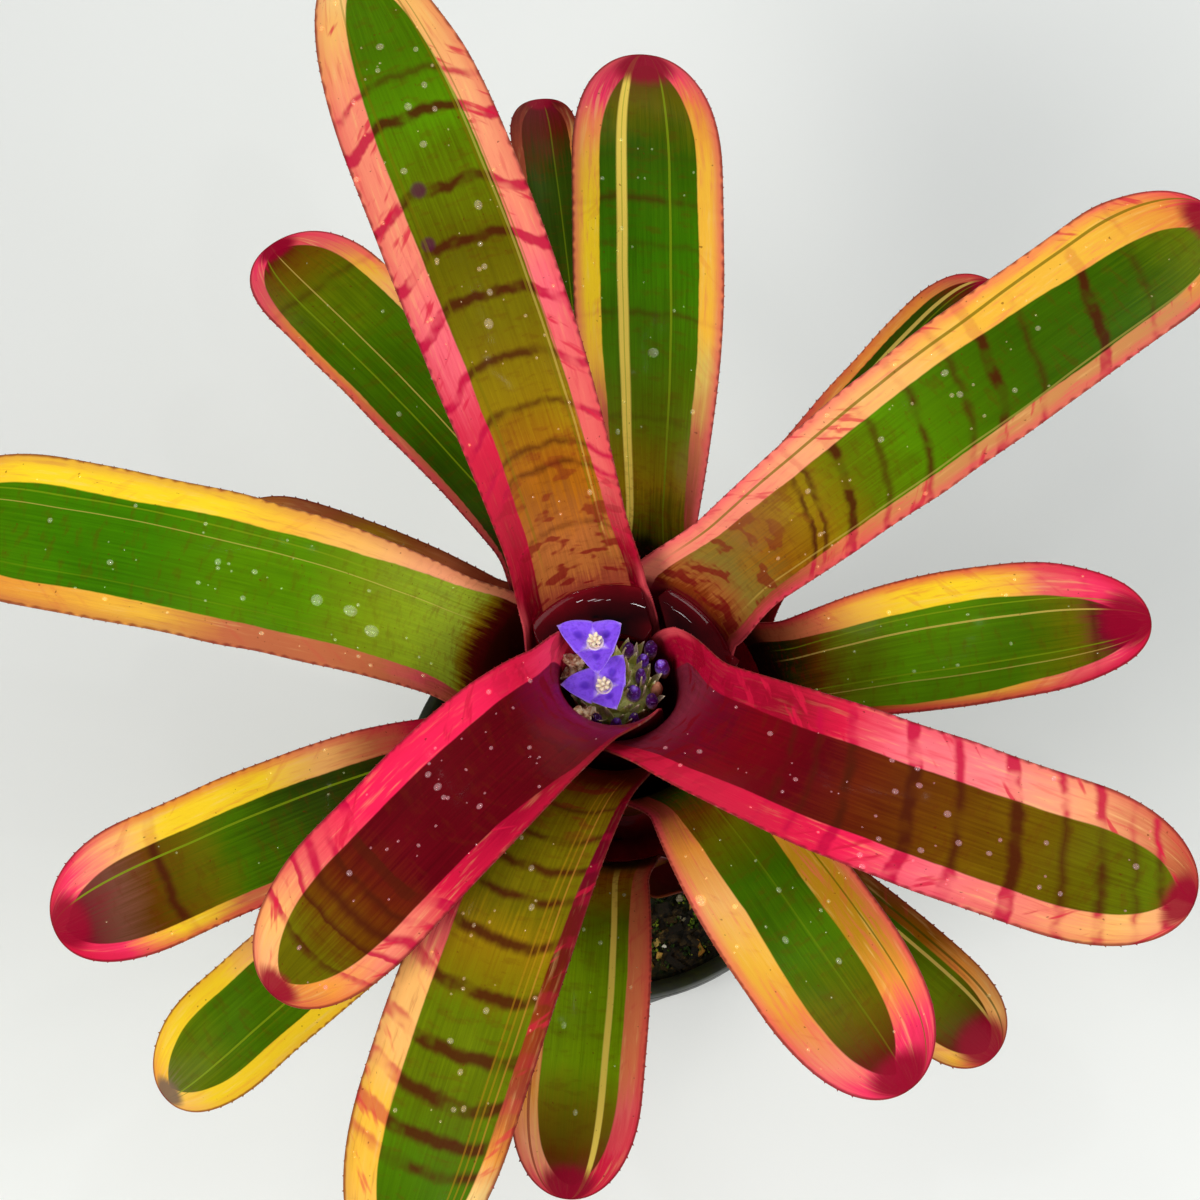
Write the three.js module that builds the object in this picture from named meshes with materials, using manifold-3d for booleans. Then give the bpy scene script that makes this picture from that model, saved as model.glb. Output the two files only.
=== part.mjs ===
// A neoregelia bromeliad in flower, in a plastic nursery pot.
// Millimetres, +Z up. The origin is the centre of the pot's underside.
import * as THREE from "three";
import { mergeVertices } from "three/addons/utils/BufferGeometryUtils.js";
import Module from "manifold-3d";

const wasm = await Module();
wasm.setup();

// ---- pot and potting mix
const POT_HEIGHT = 96;
const RIM_RADIUS = 60;
const RIM_DEPTH = 7;
const WALL = 1.8;
const TOP_RADIUS = 57; // outside of the wall, just under the rim
const BASE_RADIUS = 42;
const FLOOR = 2;
const FLOOR_STEP = 2.5; // the ring with the drain holes stands this much higher
const DRAIN_HOLES = 6;
const DRAIN_RADIUS = 4.5;
const POT_SIDES = 36;
const MIX_LEVEL = 88;
const GAP = 0.3;

// ---- stem, and the shells that the leaf sheaths follow
const STEM_TOP = 130;
const STEM_TOP_RADIUS = 8;
const STEP_DOWN = 2.2; // each older leaf joins the stem this much lower
const STEP_OUT = 0.9; // and this much further out
const SHELL_RADIUS = 12.5;
const SHELL_STEP = 1.7;
const SHEATH_HALF = 13; // half the width of a sheath where it clasps the stem
const LEAF_THICK = 1.1;
const CHANNEL = 3.2; // rise of the margins over the middle of a blade

// ---- the leaves, youngest first. Azimuths in degrees from +X, anticlockwise; lengths in mm.
// toward: azimuth of the tip; shift: sideways offset where the blade leaves the rosette;
// bow: sideways bow half way; reach, tip: distance from the axis and height of the tip;
// rise, fall: slopes in degrees leaving the rosette and at the tip;
// wide, neck, waist: widths at the widest of the blade, near its foot and at the sheath's lip;
// roll: sideways tilt of the blade in degrees;
// cup, lip: radius and height at which sheath becomes blade;
// taper: length of the rounded tip, in half widths.
const LEAVES = [
  { toward: 226, shift: 0, bow: -1, reach: 118, tip: 215, rise: 74, fall: 8, wide: 38,
    neck: 35, waist: 46, roll: 0, cup: 15, lip: 205, taper: 1.4 },
  { toward: 334.9, shift: -4.5, bow: -8, reach: 152, tip: 220, rise: 66, fall: 8, wide: 40,
    neck: 36.5, waist: 50, roll: 3, cup: 18.5, lip: 203, taper: 1.5 },
  { toward: 110.8, shift: 0, bow: -0.3, reach: 197, tip: 238, rise: 62, fall: 6, wide: 41,
    neck: 32, waist: 36, roll: -3, cup: 27, lip: 196, taper: 2.9 },
  { toward: 250, shift: 2, bow: -4, reach: 158, tip: 200, rise: 60, fall: 10, wide: 39,
    neck: 32, waist: 36, roll: 4, cup: 24, lip: 195, taper: 1.8 },
  { toward: 37, shift: 8.5, bow: -4, reach: 194, tip: 225, rise: 60, fall: 8, wide: 39.5,
    neck: 28.5, waist: 36, roll: -5, cup: 33, lip: 188, taper: 1.5 },
  { toward: 168, shift: -3.5, bow: 0.8, reach: 181, tip: 215, rise: 60, fall: 8, wide: 41,
    neck: 32.5, waist: 38, roll: 3, cup: 35, lip: 184, taper: 1.5 },
  { toward: 305.3, shift: 0.5, bow: -1.2, reach: 125, tip: 185, rise: 60, fall: 12, wide: 40.5,
    neck: 24, waist: 33, roll: -4, cup: 29.5, lip: 187, taper: 1.4 },
  { toward: 87.3, shift: -6.4, bow: -1.5, reach: 175, tip: 205, rise: 58, fall: 12, wide: 40,
    neck: 24, waist: 34, roll: 2, cup: 39, lip: 176, taper: 1.7 },
  { toward: 204, shift: 0, bow: 1, reach: 153, tip: 185, rise: 58, fall: 12, wide: 34,
    neck: 29, waist: 33, roll: -6, cup: 38.5, lip: 172, taper: 1.4 },
  { toward: 7.6, shift: 4, bow: -2, reach: 139, tip: 190, rise: 58, fall: 12, wide: 36,
    neck: 28, waist: 34, roll: 5, cup: 42, lip: 168, taper: 2.2 },
  { toward: 126, shift: -14, bow: -2, reach: 158, tip: 185, rise: 56, fall: 12, wide: 33,
    neck: 26, waist: 32, roll: -4, cup: 43, lip: 164, taper: 1.3 },
  { toward: 264.6, shift: -1.5, bow: 0.8, reach: 127, tip: 170, rise: 56, fall: 15, wide: 32.5,
    neck: 27, waist: 33, roll: 3, cup: 39.5, lip: 164, taper: 1.4 },
  { toward: 49.5, shift: 0, bow: 0, reach: 162, tip: 170, rise: 52, fall: 15, wide: 26,
    neck: 27, waist: 33, roll: 4, cup: 45, lip: 156, taper: 1.7 },
  { toward: 153.5, shift: -11, bow: -1, reach: 119, tip: 165, rise: 52, fall: 18, wide: 25,
    neck: 28, waist: 33, roll: -5, cup: 46, lip: 152, taper: 1.4 },
  { toward: 318, shift: -2, bow: 0, reach: 131, tip: 155, rise: 48, fall: 20, wide: 27,
    neck: 27, waist: 33, roll: 4, cup: 47, lip: 148, taper: 1.4 },
  { toward: 96.5, shift: 0, bow: 0, reach: 185, tip: 165, rise: 50, fall: 15, wide: 19,
    neck: 24, waist: 30, roll: 0, cup: 48, lip: 144, taper: 1.5 },
  { toward: 220.2, shift: 0, bow: -1, reach: 151, tip: 150, rise: 45, fall: 20, wide: 30,
    neck: 29, waist: 34, roll: -4, cup: 49, lip: 140, taper: 1.5 },
];

const LEAF_COLOURS = [
  0x8c1f3c, 0x9a2a45, 0xa0743c, 0x8f7a35, 0x98963a, 0x7f9a2e, 0x8a9136, 0x6f9030, 0x7d8a34,
  0x6c8c34, 0x5f8230, 0x6a8733, 0x66792e, 0x6b5a30, 0x4f6d28, 0x465f26, 0x7f9330,
];

// Stations along a leaf: -1 to 0 is the sheath, 0 to 1 the blade.
const SHEATH_STATIONS = [-1, -0.82, -0.64, -0.46, -0.28, -0.12];
const WRAPPED_STATIONS = [0, 0.05, 0.12];
const BLADE_STATIONS = [0.21, 0.32, 0.44, 0.56, 0.68, 0.79, 0.87, 0.93, 0.97, 0.99, 1];
const WRAPPED_COLUMNS = 8;
const BLADE_COLUMNS = 4;

const rad = (degrees) => (degrees * Math.PI) / 180;
const clamp01 = (x) => Math.min(Math.max(x, 0), 1);

function random(seed) {
  let state = seed;
  return () => {
    state = (state * 1664525 + 1013904223) % 4294967296;
    return state / 4294967296;
  };
}

// ---- solids

function toSolid(geometry) {
  const bare = geometry.clone();
  for (const name of Object.keys(bare.attributes)) {
    if (name !== "position") bare.deleteAttribute(name);
  }
  const merged = mergeVertices(bare, 1e-4);
  const triVerts = [];
  const index = merged.index.array;
  for (let i = 0; i < index.length; i += 3) {
    const [a, b, c] = [index[i], index[i + 1], index[i + 2]];
    if (a !== b && b !== c && a !== c) triVerts.push(a, b, c);
  }
  return new wasm.Manifold(
    new wasm.Mesh({
      numProp: 3,
      vertProperties: new Float32Array(merged.attributes.position.array),
      triVerts: new Uint32Array(triVerts),
    }),
  );
}

function toGeometry(solid) {
  const mesh = solid.getMesh();
  const geometry = new THREE.BufferGeometry();
  geometry.setAttribute("position", new THREE.BufferAttribute(new Float32Array(mesh.vertProperties), 3));
  geometry.setIndex([...mesh.triVerts]);
  geometry.computeVertexNormals();
  return geometry;
}

function largest(solid) {
  const pieces = solid.decompose();
  return pieces.reduce((best, piece) => (piece.volume() > best.volume() ? piece : best));
}

// A profile of [radius, height] pairs turned about +Z.
function turned(profile, sides) {
  const points = profile.map(([r, z]) => new THREE.Vector2(r, z));
  return new THREE.LatheGeometry(points, sides).rotateX(Math.PI / 2);
}

// A closed sheet made of rows of [upper point, lower point] pairs.
// The next row has as many columns or half as many.
function sheet(rows) {
  const position = [];
  const index = [];
  const first = [];
  for (const row of rows) {
    first.push(position.length / 3);
    for (const [upper, lower] of row) {
      position.push(upper.x, upper.y, upper.z);
      position.push(lower.x, lower.y, lower.z);
    }
  }
  const upper = (r, j) => first[r] + 2 * j;
  const lower = (r, j) => first[r] + 2 * j + 1;
  const both = (p, q, s) => {
    index.push(upper(...p), upper(...q), upper(...s));
    index.push(lower(...p), lower(...s), lower(...q));
  };
  for (let r = 0; r + 1 < rows.length; r++) {
    const near = rows[r].length - 1;
    const far = rows[r + 1].length - 1;
    if (near === far) {
      for (let j = 0; j < near; j++) {
        both([r, j], [r + 1, j], [r + 1, j + 1]);
        both([r, j], [r + 1, j + 1], [r, j + 1]);
      }
    } else {
      for (let j = 0; j < far; j++) {
        both([r, 2 * j], [r + 1, j], [r, 2 * j + 1]);
        both([r, 2 * j + 1], [r + 1, j], [r + 1, j + 1]);
        both([r, 2 * j + 1], [r + 1, j + 1], [r, 2 * j + 2]);
      }
    }
    index.push(upper(r, 0), lower(r, 0), lower(r + 1, 0));
    index.push(upper(r, 0), lower(r + 1, 0), upper(r + 1, 0));
    index.push(upper(r, near), lower(r + 1, far), lower(r, near));
    index.push(upper(r, near), upper(r + 1, far), lower(r + 1, far));
  }
  const last = rows.length - 1;
  for (let j = 0; j + 1 < rows[0].length; j++) {
    index.push(upper(0, j), upper(0, j + 1), lower(0, j + 1));
    index.push(upper(0, j), lower(0, j + 1), lower(0, j));
  }
  for (let j = 0; j + 1 < rows[last].length; j++) {
    index.push(upper(last, j), lower(last, j + 1), upper(last, j + 1));
    index.push(upper(last, j), lower(last, j), lower(last, j + 1));
  }
  const geometry = new THREE.BufferGeometry();
  geometry.setAttribute("position", new THREE.Float32BufferAttribute(position, 3));
  geometry.setIndex(index);
  geometry.computeVertexNormals();
  return geometry;
}

// ---- leaves

// The middle line of leaf k in its upright plane, as two curves of (distance from axis, height).
function midline(k) {
  const leaf = LEAVES[k];
  const rank = k + 1;
  const foot = new THREE.Vector2(STEM_TOP_RADIUS + STEP_OUT * rank, STEM_TOP - STEP_DOWN * rank);
  const lip = new THREE.Vector2(leaf.cup, leaf.lip);
  const tip = new THREE.Vector2(leaf.reach, leaf.tip);
  const rise = rad(leaf.rise);
  const fall = rad(-leaf.fall);
  const wall = SHELL_RADIUS + SHELL_STEP * rank;
  const tall = lip.y - foot.y;
  const along = 0.36 * lip.distanceTo(tip);
  const sheath = new THREE.CubicBezierCurve(
    foot,
    new THREE.Vector2(wall + 2, foot.y + 0.12 * tall),
    new THREE.Vector2(lip.x - Math.cos(rise) * 0.16 * tall, lip.y - Math.sin(rise) * 0.16 * tall),
    lip,
  );
  const blade = new THREE.CubicBezierCurve(
    lip,
    new THREE.Vector2(lip.x + Math.cos(rise) * along * 0.75, lip.y + Math.sin(rise) * along * 0.75),
    new THREE.Vector2(tip.x - Math.cos(fall) * along * 1.1, tip.y - Math.sin(fall) * along * 1.1),
    tip,
  );
  return { sheath, blade, length: lip.distanceTo(tip) * 1.06 };
}

function halfWidth(leaf, length, s) {
  const lip = leaf.waist / 2;
  const widest = leaf.wide / 2;
  if (s < 0) return lip * (1 + 0.3 * Math.sin(-s * Math.PI) ** 1.2) + s * (lip - SHEATH_HALF);
  const narrowing = clamp01(s / 0.16);
  const foot = lip + ((leaf.neck / 2 - lip) * (3 - 2 * narrowing) * narrowing ** 2);
  const grown = Math.sin((clamp01(s / 0.62) * Math.PI) / 2) ** 1.6;
  const rounding = 1 - (leaf.taper * widest) / length;
  const end = clamp01((s - rounding) / (1 - rounding));
  return Math.max((foot + (widest - foot) * grown) * (1 - end ** 2.3) ** (1 / 2.1), 0.5);
}

// A point of leaf k: s along it, v across it from -1 to 1, lifted off its upper face.
function leafPoint(k, line, s, v, lift, spread = 0) {
  const leaf = LEAVES[k];
  const t = clamp01(s);
  const curve = s < 0 ? line.sheath : line.blade;
  const u = s < 0 ? 1 + s : t;
  const middle = curve.getPoint(u);
  const course = curve.getTangent(u);
  const half = halfWidth(leaf, line.length, s);
  const channel = CHANNEL * clamp01(t / 0.35) ** 1.5 * (half / (leaf.wide / 2)) ** 2 * v * v;
  const tilt = Math.tan(rad(leaf.roll)) * v * half * Math.sin((Math.PI / 2) * clamp01(t / 0.6)) ** 2;
  const off = channel + tilt + lift;
  const radius = middle.x - course.y * off;
  const height = middle.y + course.x * off;
  const sideways = leaf.shift * (1 - t) + leaf.bow * Math.sin(Math.PI * t ** 0.8);
  const centre = rad(leaf.toward) + sideways / (s < 0 ? leaf.cup : middle.x);
  const angle = centre + (v * (half + spread)) / middle.x;
  return new THREE.Vector3(radius * Math.cos(angle), radius * Math.sin(angle), height);
}

function leafGeometry(k, swell = 0) {
  const line = midline(k);
  const rows = [];
  for (const s of [...SHEATH_STATIONS, ...WRAPPED_STATIONS, ...BLADE_STATIONS]) {
    const columns = s > 0.15 ? BLADE_COLUMNS : WRAPPED_COLUMNS;
    const row = [];
    for (let j = 0; j <= columns; j++) {
      const v = (2 * j) / columns - 1;
      const thick = LEAF_THICK * (1 - 0.35 * v * v);
      row.push([leafPoint(k, line, s, v, swell, swell), leafPoint(k, line, s, v, -thick - swell, swell)]);
    }
    rows.push(row);
  }
  return sheet(rows);
}

// ---- pot, mix and stem

function potGeometry() {
  const wallFoot = BASE_RADIUS - 1.5;
  const step = FLOOR_STEP;
  const profile = [
    [0, 0],
    [20, 0],
    [22, step],
    [36, step],
    [38, 0],
    [BASE_RADIUS - 1, 0],
    [BASE_RADIUS, 1],
    [TOP_RADIUS, POT_HEIGHT - RIM_DEPTH],
    [RIM_RADIUS - 0.6, POT_HEIGHT - RIM_DEPTH],
    [RIM_RADIUS, POT_HEIGHT - RIM_DEPTH + 0.8],
    [RIM_RADIUS, POT_HEIGHT - 0.8],
    [RIM_RADIUS - 0.7, POT_HEIGHT],
    [RIM_RADIUS - 2.4, POT_HEIGHT],
    [TOP_RADIUS - WALL + 0.4, POT_HEIGHT - 2],
    [TOP_RADIUS - WALL, POT_HEIGHT - RIM_DEPTH],
    [wallFoot - WALL + 0.6, step + FLOOR],
    [21, step + FLOOR],
    [19, FLOOR],
    [0, FLOOR],
  ];
  let pot = toSolid(turned(profile, POT_SIDES));
  for (let i = 0; i < DRAIN_HOLES; i++) {
    const angle = (2 * Math.PI * (i + 0.5)) / DRAIN_HOLES;
    const drill = new THREE.CylinderGeometry(DRAIN_RADIUS, DRAIN_RADIUS, 12, 10).rotateX(Math.PI / 2);
    drill.translate(29 * Math.cos(angle), 29 * Math.sin(angle), step + 1);
    pot = pot.subtract(toSolid(drill));
  }
  return toGeometry(pot);
}

// Radius of the stem's cone at a height, clear of the feet of the leaves.
const stemRadius = (z) => STEM_TOP_RADIUS + (STEP_OUT * (STEM_TOP - z)) / STEP_DOWN - 0.6;
const STEM_SHOULDER = 91;
const STEM_FOOT = 62;
const SCAPE_RADIUS = 3;
const SCAPE_FOOT = 122;

function stemGeometry() {
  return turned(
    [
      [0, STEM_FOOT],
      [9, STEM_FOOT + 1],
      [15, 72],
      [stemRadius(STEM_SHOULDER) - 1.5, 85],
      [stemRadius(STEM_SHOULDER), STEM_SHOULDER],
      [stemRadius(110), 110],
      [stemRadius(STEM_TOP - 1), STEM_TOP - 1],
      [stemRadius(STEM_TOP) - 0.8, STEM_TOP],
      [SCAPE_RADIUS + GAP + 0.1, STEM_TOP],
      [SCAPE_RADIUS + GAP + 0.1, SCAPE_FOOT - GAP],
      [0, SCAPE_FOOT - GAP],
    ],
    24,
  );
}

function mixGeometry() {
  const gap = GAP + 0.2;
  const wallFoot = BASE_RADIUS - 1.5;
  const slope = (TOP_RADIUS - wallFoot) / (POT_HEIGHT - RIM_DEPTH - FLOOR_STEP - FLOOR);
  const inside = (z) => wallFoot - WALL + 0.2 + slope * (z - FLOOR_STEP - FLOOR) - gap;
  const shoulder = stemRadius(STEM_SHOULDER);
  const geometry = turned(
    [
      [0, FLOOR + gap],
      [18.6, FLOOR + gap],
      [20.6, FLOOR_STEP + FLOOR + gap],
      [inside(7) - 0.8, FLOOR_STEP + FLOOR + gap],
      [inside(30), 30],
      [inside(MIX_LEVEL - 1), MIX_LEVEL - 1],
      [52, MIX_LEVEL],
      [46, MIX_LEVEL],
      [40, MIX_LEVEL],
      [34, MIX_LEVEL],
      [28, MIX_LEVEL],
      [shoulder + gap, MIX_LEVEL - 1],
      [shoulder - 1.5 + gap, 85],
      [15 + gap, 72 - gap],
      [9 + gap, STEM_FOOT + 1 - gap],
      [0, STEM_FOOT - gap],
    ],
    POT_SIDES,
  );
  // clods and hollows on the surface
  const p = geometry.attributes.position;
  for (let i = 0; i < p.count; i++) {
    if (Math.abs(p.getZ(i) - MIX_LEVEL) > 0.01) continue;
    const x = p.getX(i);
    const y = p.getY(i);
    const lump = Math.sin(x * 0.31 + 1.7 * Math.sin(y * 0.23)) * Math.cos(y * 0.37 - x * 0.11);
    p.setZ(i, MIX_LEVEL + 0.4 + 1.3 * lump);
  }
  return geometry;
}

// ---- flower head

const HEAD_RADIUS = 10.5;
const HEAD_LEVEL = 185;
const BRACTS = 20;
// Closed buds and open flowers stand at [x, y, height of the top].
const BUDS = [
  [3.5, 8, 199],
  [9, 9, 198],
  [11, 3.5, 199],
  [6.5, 1, 201],
  [8.5, -5, 199],
  [0.5, -10.5, 198],
  [-4.5, -9, 197],
];
const FLOWERS = [
  { name: "flower_1", x: -4.3, y: 6, top: 208, turn: 28, tilt: 5, lean: 130 },
  { name: "flower_2", x: -3, y: -3, top: 203, turn: 62, tilt: 8, lean: 200 },
];
const FLOWER_TUBE = 1.5;
const PETAL_LENGTH = 8.6;
const PETAL_WIDTH = 8;

// A pointed scale rising from its foot, cupped towards the side it faces.
function scaleGeometry(length, width, thick, curl) {
  const rows = [0, 0.4, 0.75, 1].map((t) => {
    const half = Math.max((width / 2) * Math.sin(Math.PI * (0.22 + 0.78 * t) ** 0.85) ** 0.8, 0.3);
    const row = [];
    for (let v = -1; v <= 1; v++) {
      const x = curl * (1 - t) * (1 - t) * 0.6 - curl * t * t * 0.5 - 0.35 * half * v * v;
      const inner = new THREE.Vector3(x - thick, v * half, t * length);
      row.push([inner, new THREE.Vector3(x, v * half, t * length)]);
    }
    return row;
  });
  return sheet(rows);
}

function place(geometry, tilt, azimuth, x, y, z) {
  geometry.rotateY(tilt);
  geometry.rotateZ(azimuth);
  geometry.translate(x, y, z);
  return geometry;
}

function headGeometry() {
  const draw = random(7);
  let head = toSolid(
    turned(
      [
        [0, SCAPE_FOOT],
        [SCAPE_RADIUS, SCAPE_FOOT],
        [SCAPE_RADIUS, 168],
        [HEAD_RADIUS - 3.5, 174],
        [HEAD_RADIUS, 180],
        [HEAD_RADIUS - 1, HEAD_LEVEL + 2],
        [HEAD_RADIUS - 5, HEAD_LEVEL + 5],
        [0, HEAD_LEVEL + 6],
      ],
      14,
    ),
  );
  for (let i = 0; i < BRACTS; i++) {
    const share = (i + 0.5) / BRACTS;
    const radius = (HEAD_RADIUS - 1) * Math.sqrt(share);
    const angle = rad(137.5 * i);
    const length = 11 + 3 * draw();
    const scale = scaleGeometry(length, 4.6 + draw(), 0.8, 1.2);
    const foot = HEAD_LEVEL + 2 - 5 * share;
    place(scale, rad(2 + 12 * share), angle, radius * Math.cos(angle), radius * Math.sin(angle), foot);
    head = head.add(toSolid(scale));
  }
  for (const [x, y, top] of BUDS) {
    const bud = new THREE.LatheGeometry(
      [
        new THREE.Vector2(0, -13),
        new THREE.Vector2(1.3, -12.6),
        new THREE.Vector2(1.9, -4.5),
        new THREE.Vector2(1.4, -1.6),
        new THREE.Vector2(0, 0),
      ],
      7,
    ).rotateX(Math.PI / 2);
    bud.translate(x, y, top);
    head = head.add(toSolid(bud));
  }
  for (const flower of FLOWERS) {
    head = head.subtract(toSolid(flowerBore(flower)));
  }
  return toGeometry(largest(head));
}

// The way down which a flower's tube stands, cut clear of its neighbours.
function flowerBore(flower) {
  const bore = new THREE.CylinderGeometry(FLOWER_TUBE + 2.4, FLOWER_TUBE + GAP, 22, 10).rotateX(Math.PI / 2);
  return bore.translate(flower.x, flower.y, flower.top - 9.5);
}

function flowerGeometry(flower) {
  let bloom = toSolid(
    new THREE.LatheGeometry(
      [
        new THREE.Vector2(0, -18),
        new THREE.Vector2(FLOWER_TUBE, -18),
        new THREE.Vector2(FLOWER_TUBE, -4),
        new THREE.Vector2(FLOWER_TUBE + 0.8, -0.6),
        new THREE.Vector2(FLOWER_TUBE + 0.2, 0.2),
        new THREE.Vector2(0, -0.6),
      ],
      9,
    ).rotateX(Math.PI / 2),
  );
  for (let i = 0; i < 3; i++) {
    const rows = [0, 0.25, 0.5, 0.8, 1].map((t) => {
      const half = Math.max((PETAL_WIDTH / 2) * Math.sin(Math.PI * (0.18 + 0.82 * t) ** 0.9) ** 0.75, 0.3);
      const row = [];
      for (let v = -1; v <= 1; v++) {
        const x = 0.4 + t * PETAL_LENGTH;
        const z = -1.4 + 2.2 * Math.sin(1.5 * t) + 0.5 * v * v * Math.sin(Math.PI * t);
        row.push([new THREE.Vector3(x, v * half, z), new THREE.Vector3(x, v * half, z - 0.7)]);
      }
      return row;
    });
    const petal = sheet(rows).rotateZ(rad(flower.turn + 120 * i));
    bloom = bloom.add(toSolid(petal));
  }
  const geometry = toGeometry(bloom);
  const lean = new THREE.Vector3(-Math.sin(rad(flower.lean)), Math.cos(rad(flower.lean)), 0);
  // only the spread petals lean: the tube stays upright in its hole
  const p = geometry.attributes.position;
  const point = new THREE.Vector3();
  for (let i = 0; i < p.count; i++) {
    point.fromBufferAttribute(p, i);
    const share = clamp01((point.z + 5) / 4);
    point.applyAxisAngle(lean, rad(flower.tilt) * share);
    p.setXYZ(i, point.x, point.y, point.z);
  }
  geometry.translate(flower.x, flower.y, flower.top);
  geometry.computeVertexNormals();
  return geometry;
}

// ---- water standing in the axils

// Each pool lies between a leaf and the younger ones inside it.
// at: azimuth of its middle; from, to: its extent from the axis, before the leaves bound it;
// half: half its length sideways; level: height of its surface.
const POOLS = [
  { name: "pool_1", at: 106, from: 8, to: 30, half: 14, level: 193, depth: 10 },
  { name: "pool_2", at: 38, from: 16, to: 36, half: 12, level: 184, depth: 10 },
  { name: "pool_3", at: 14, from: 26, to: 46, half: 14, level: 163, depth: 8 },
  { name: "pool_4", at: 272, from: 20, to: 44, half: 14, level: 160, depth: 10 },
];

function poolGeometry(pool, solids) {
  const block = new THREE.CylinderGeometry(1, 0.85, pool.depth, 20).rotateX(Math.PI / 2);
  block.scale((pool.to - pool.from) / 2, pool.half, 1);
  block.translate((pool.to + pool.from) / 2, 0, pool.level - pool.depth / 2);
  block.rotateZ(rad(pool.at));
  let water = toSolid(block);
  for (const solid of solids) water = water.subtract(solid);
  return toGeometry(largest(water));
}

// ---- the object

const part = new THREE.Group();

function add(name, geometry, colour, roughness = 0.5) {
  const mesh = new THREE.Mesh(geometry, new THREE.MeshStandardMaterial({ color: colour, roughness, metalness: 0 }));
  mesh.name = name;
  part.add(mesh);
  return mesh;
}

add("pot", potGeometry(), 0x1d1e1f, 0.5);
add("potting_mix", mixGeometry(), 0x2c2216, 0.95);
add("stem", stemGeometry(), 0x8a7a4c, 0.8);
for (let k = 0; k < LEAVES.length; k++) {
  add(`leaf_${String(k + 1).padStart(2, "0")}`, leafGeometry(k), LEAF_COLOURS[k], 0.3);
}
add("flower_head", headGeometry(), 0x9aae5a, 0.5);
for (const flower of FLOWERS) {
  add(flower.name, flowerGeometry(flower), 0x6f55d8, 0.5);
}
// the water keeps clear of the leaves and of the flower head
const shores = LEAVES.map((_, k) => toSolid(leafGeometry(k, GAP + 0.15)));
const core = new THREE.CylinderGeometry(HEAD_RADIUS + 3, HEAD_RADIUS + 3, 90, 20).rotateX(Math.PI / 2);
shores.push(toSolid(core.translate(0, 0, 170)));
for (const pool of POOLS) {
  add(pool.name, poolGeometry(pool, shores), 0x2a0d12, 0.05);
}

export default part;
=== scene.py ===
"""A neoregelia in its pot: banded leaves, water in their axils, the flower head, soil and pot.

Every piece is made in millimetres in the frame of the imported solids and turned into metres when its
mesh is written. A leaf is a strip on a surface of revolution round the stem: `along` runs from -1 at its
foot to 0 at the lip of its sheath and 1 at its tip, and `across` from -1 to 1, anticlockwise.
"""
from math import cos, hypot, pi, radians, sin, tan

import bpy
import numpy as np
from mathutils import Matrix, Vector
from mathutils.bvhtree import BVHTree
from mathutils.interpolate import poly_3d_calc


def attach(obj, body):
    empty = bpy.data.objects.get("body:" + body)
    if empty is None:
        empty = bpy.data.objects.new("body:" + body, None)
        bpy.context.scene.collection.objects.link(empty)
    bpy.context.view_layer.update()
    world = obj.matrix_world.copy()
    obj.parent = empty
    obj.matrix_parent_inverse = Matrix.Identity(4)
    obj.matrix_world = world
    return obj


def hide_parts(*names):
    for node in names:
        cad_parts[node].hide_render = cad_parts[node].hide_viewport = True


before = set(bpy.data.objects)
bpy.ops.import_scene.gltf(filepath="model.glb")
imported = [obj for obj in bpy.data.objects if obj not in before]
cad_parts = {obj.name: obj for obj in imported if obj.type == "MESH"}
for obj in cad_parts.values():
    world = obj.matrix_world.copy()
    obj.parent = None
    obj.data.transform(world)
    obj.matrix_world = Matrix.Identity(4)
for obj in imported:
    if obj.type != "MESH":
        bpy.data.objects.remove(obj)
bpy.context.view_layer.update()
MM = 0.001

# ---------------------------------------------------------------------------------------- colours

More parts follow.
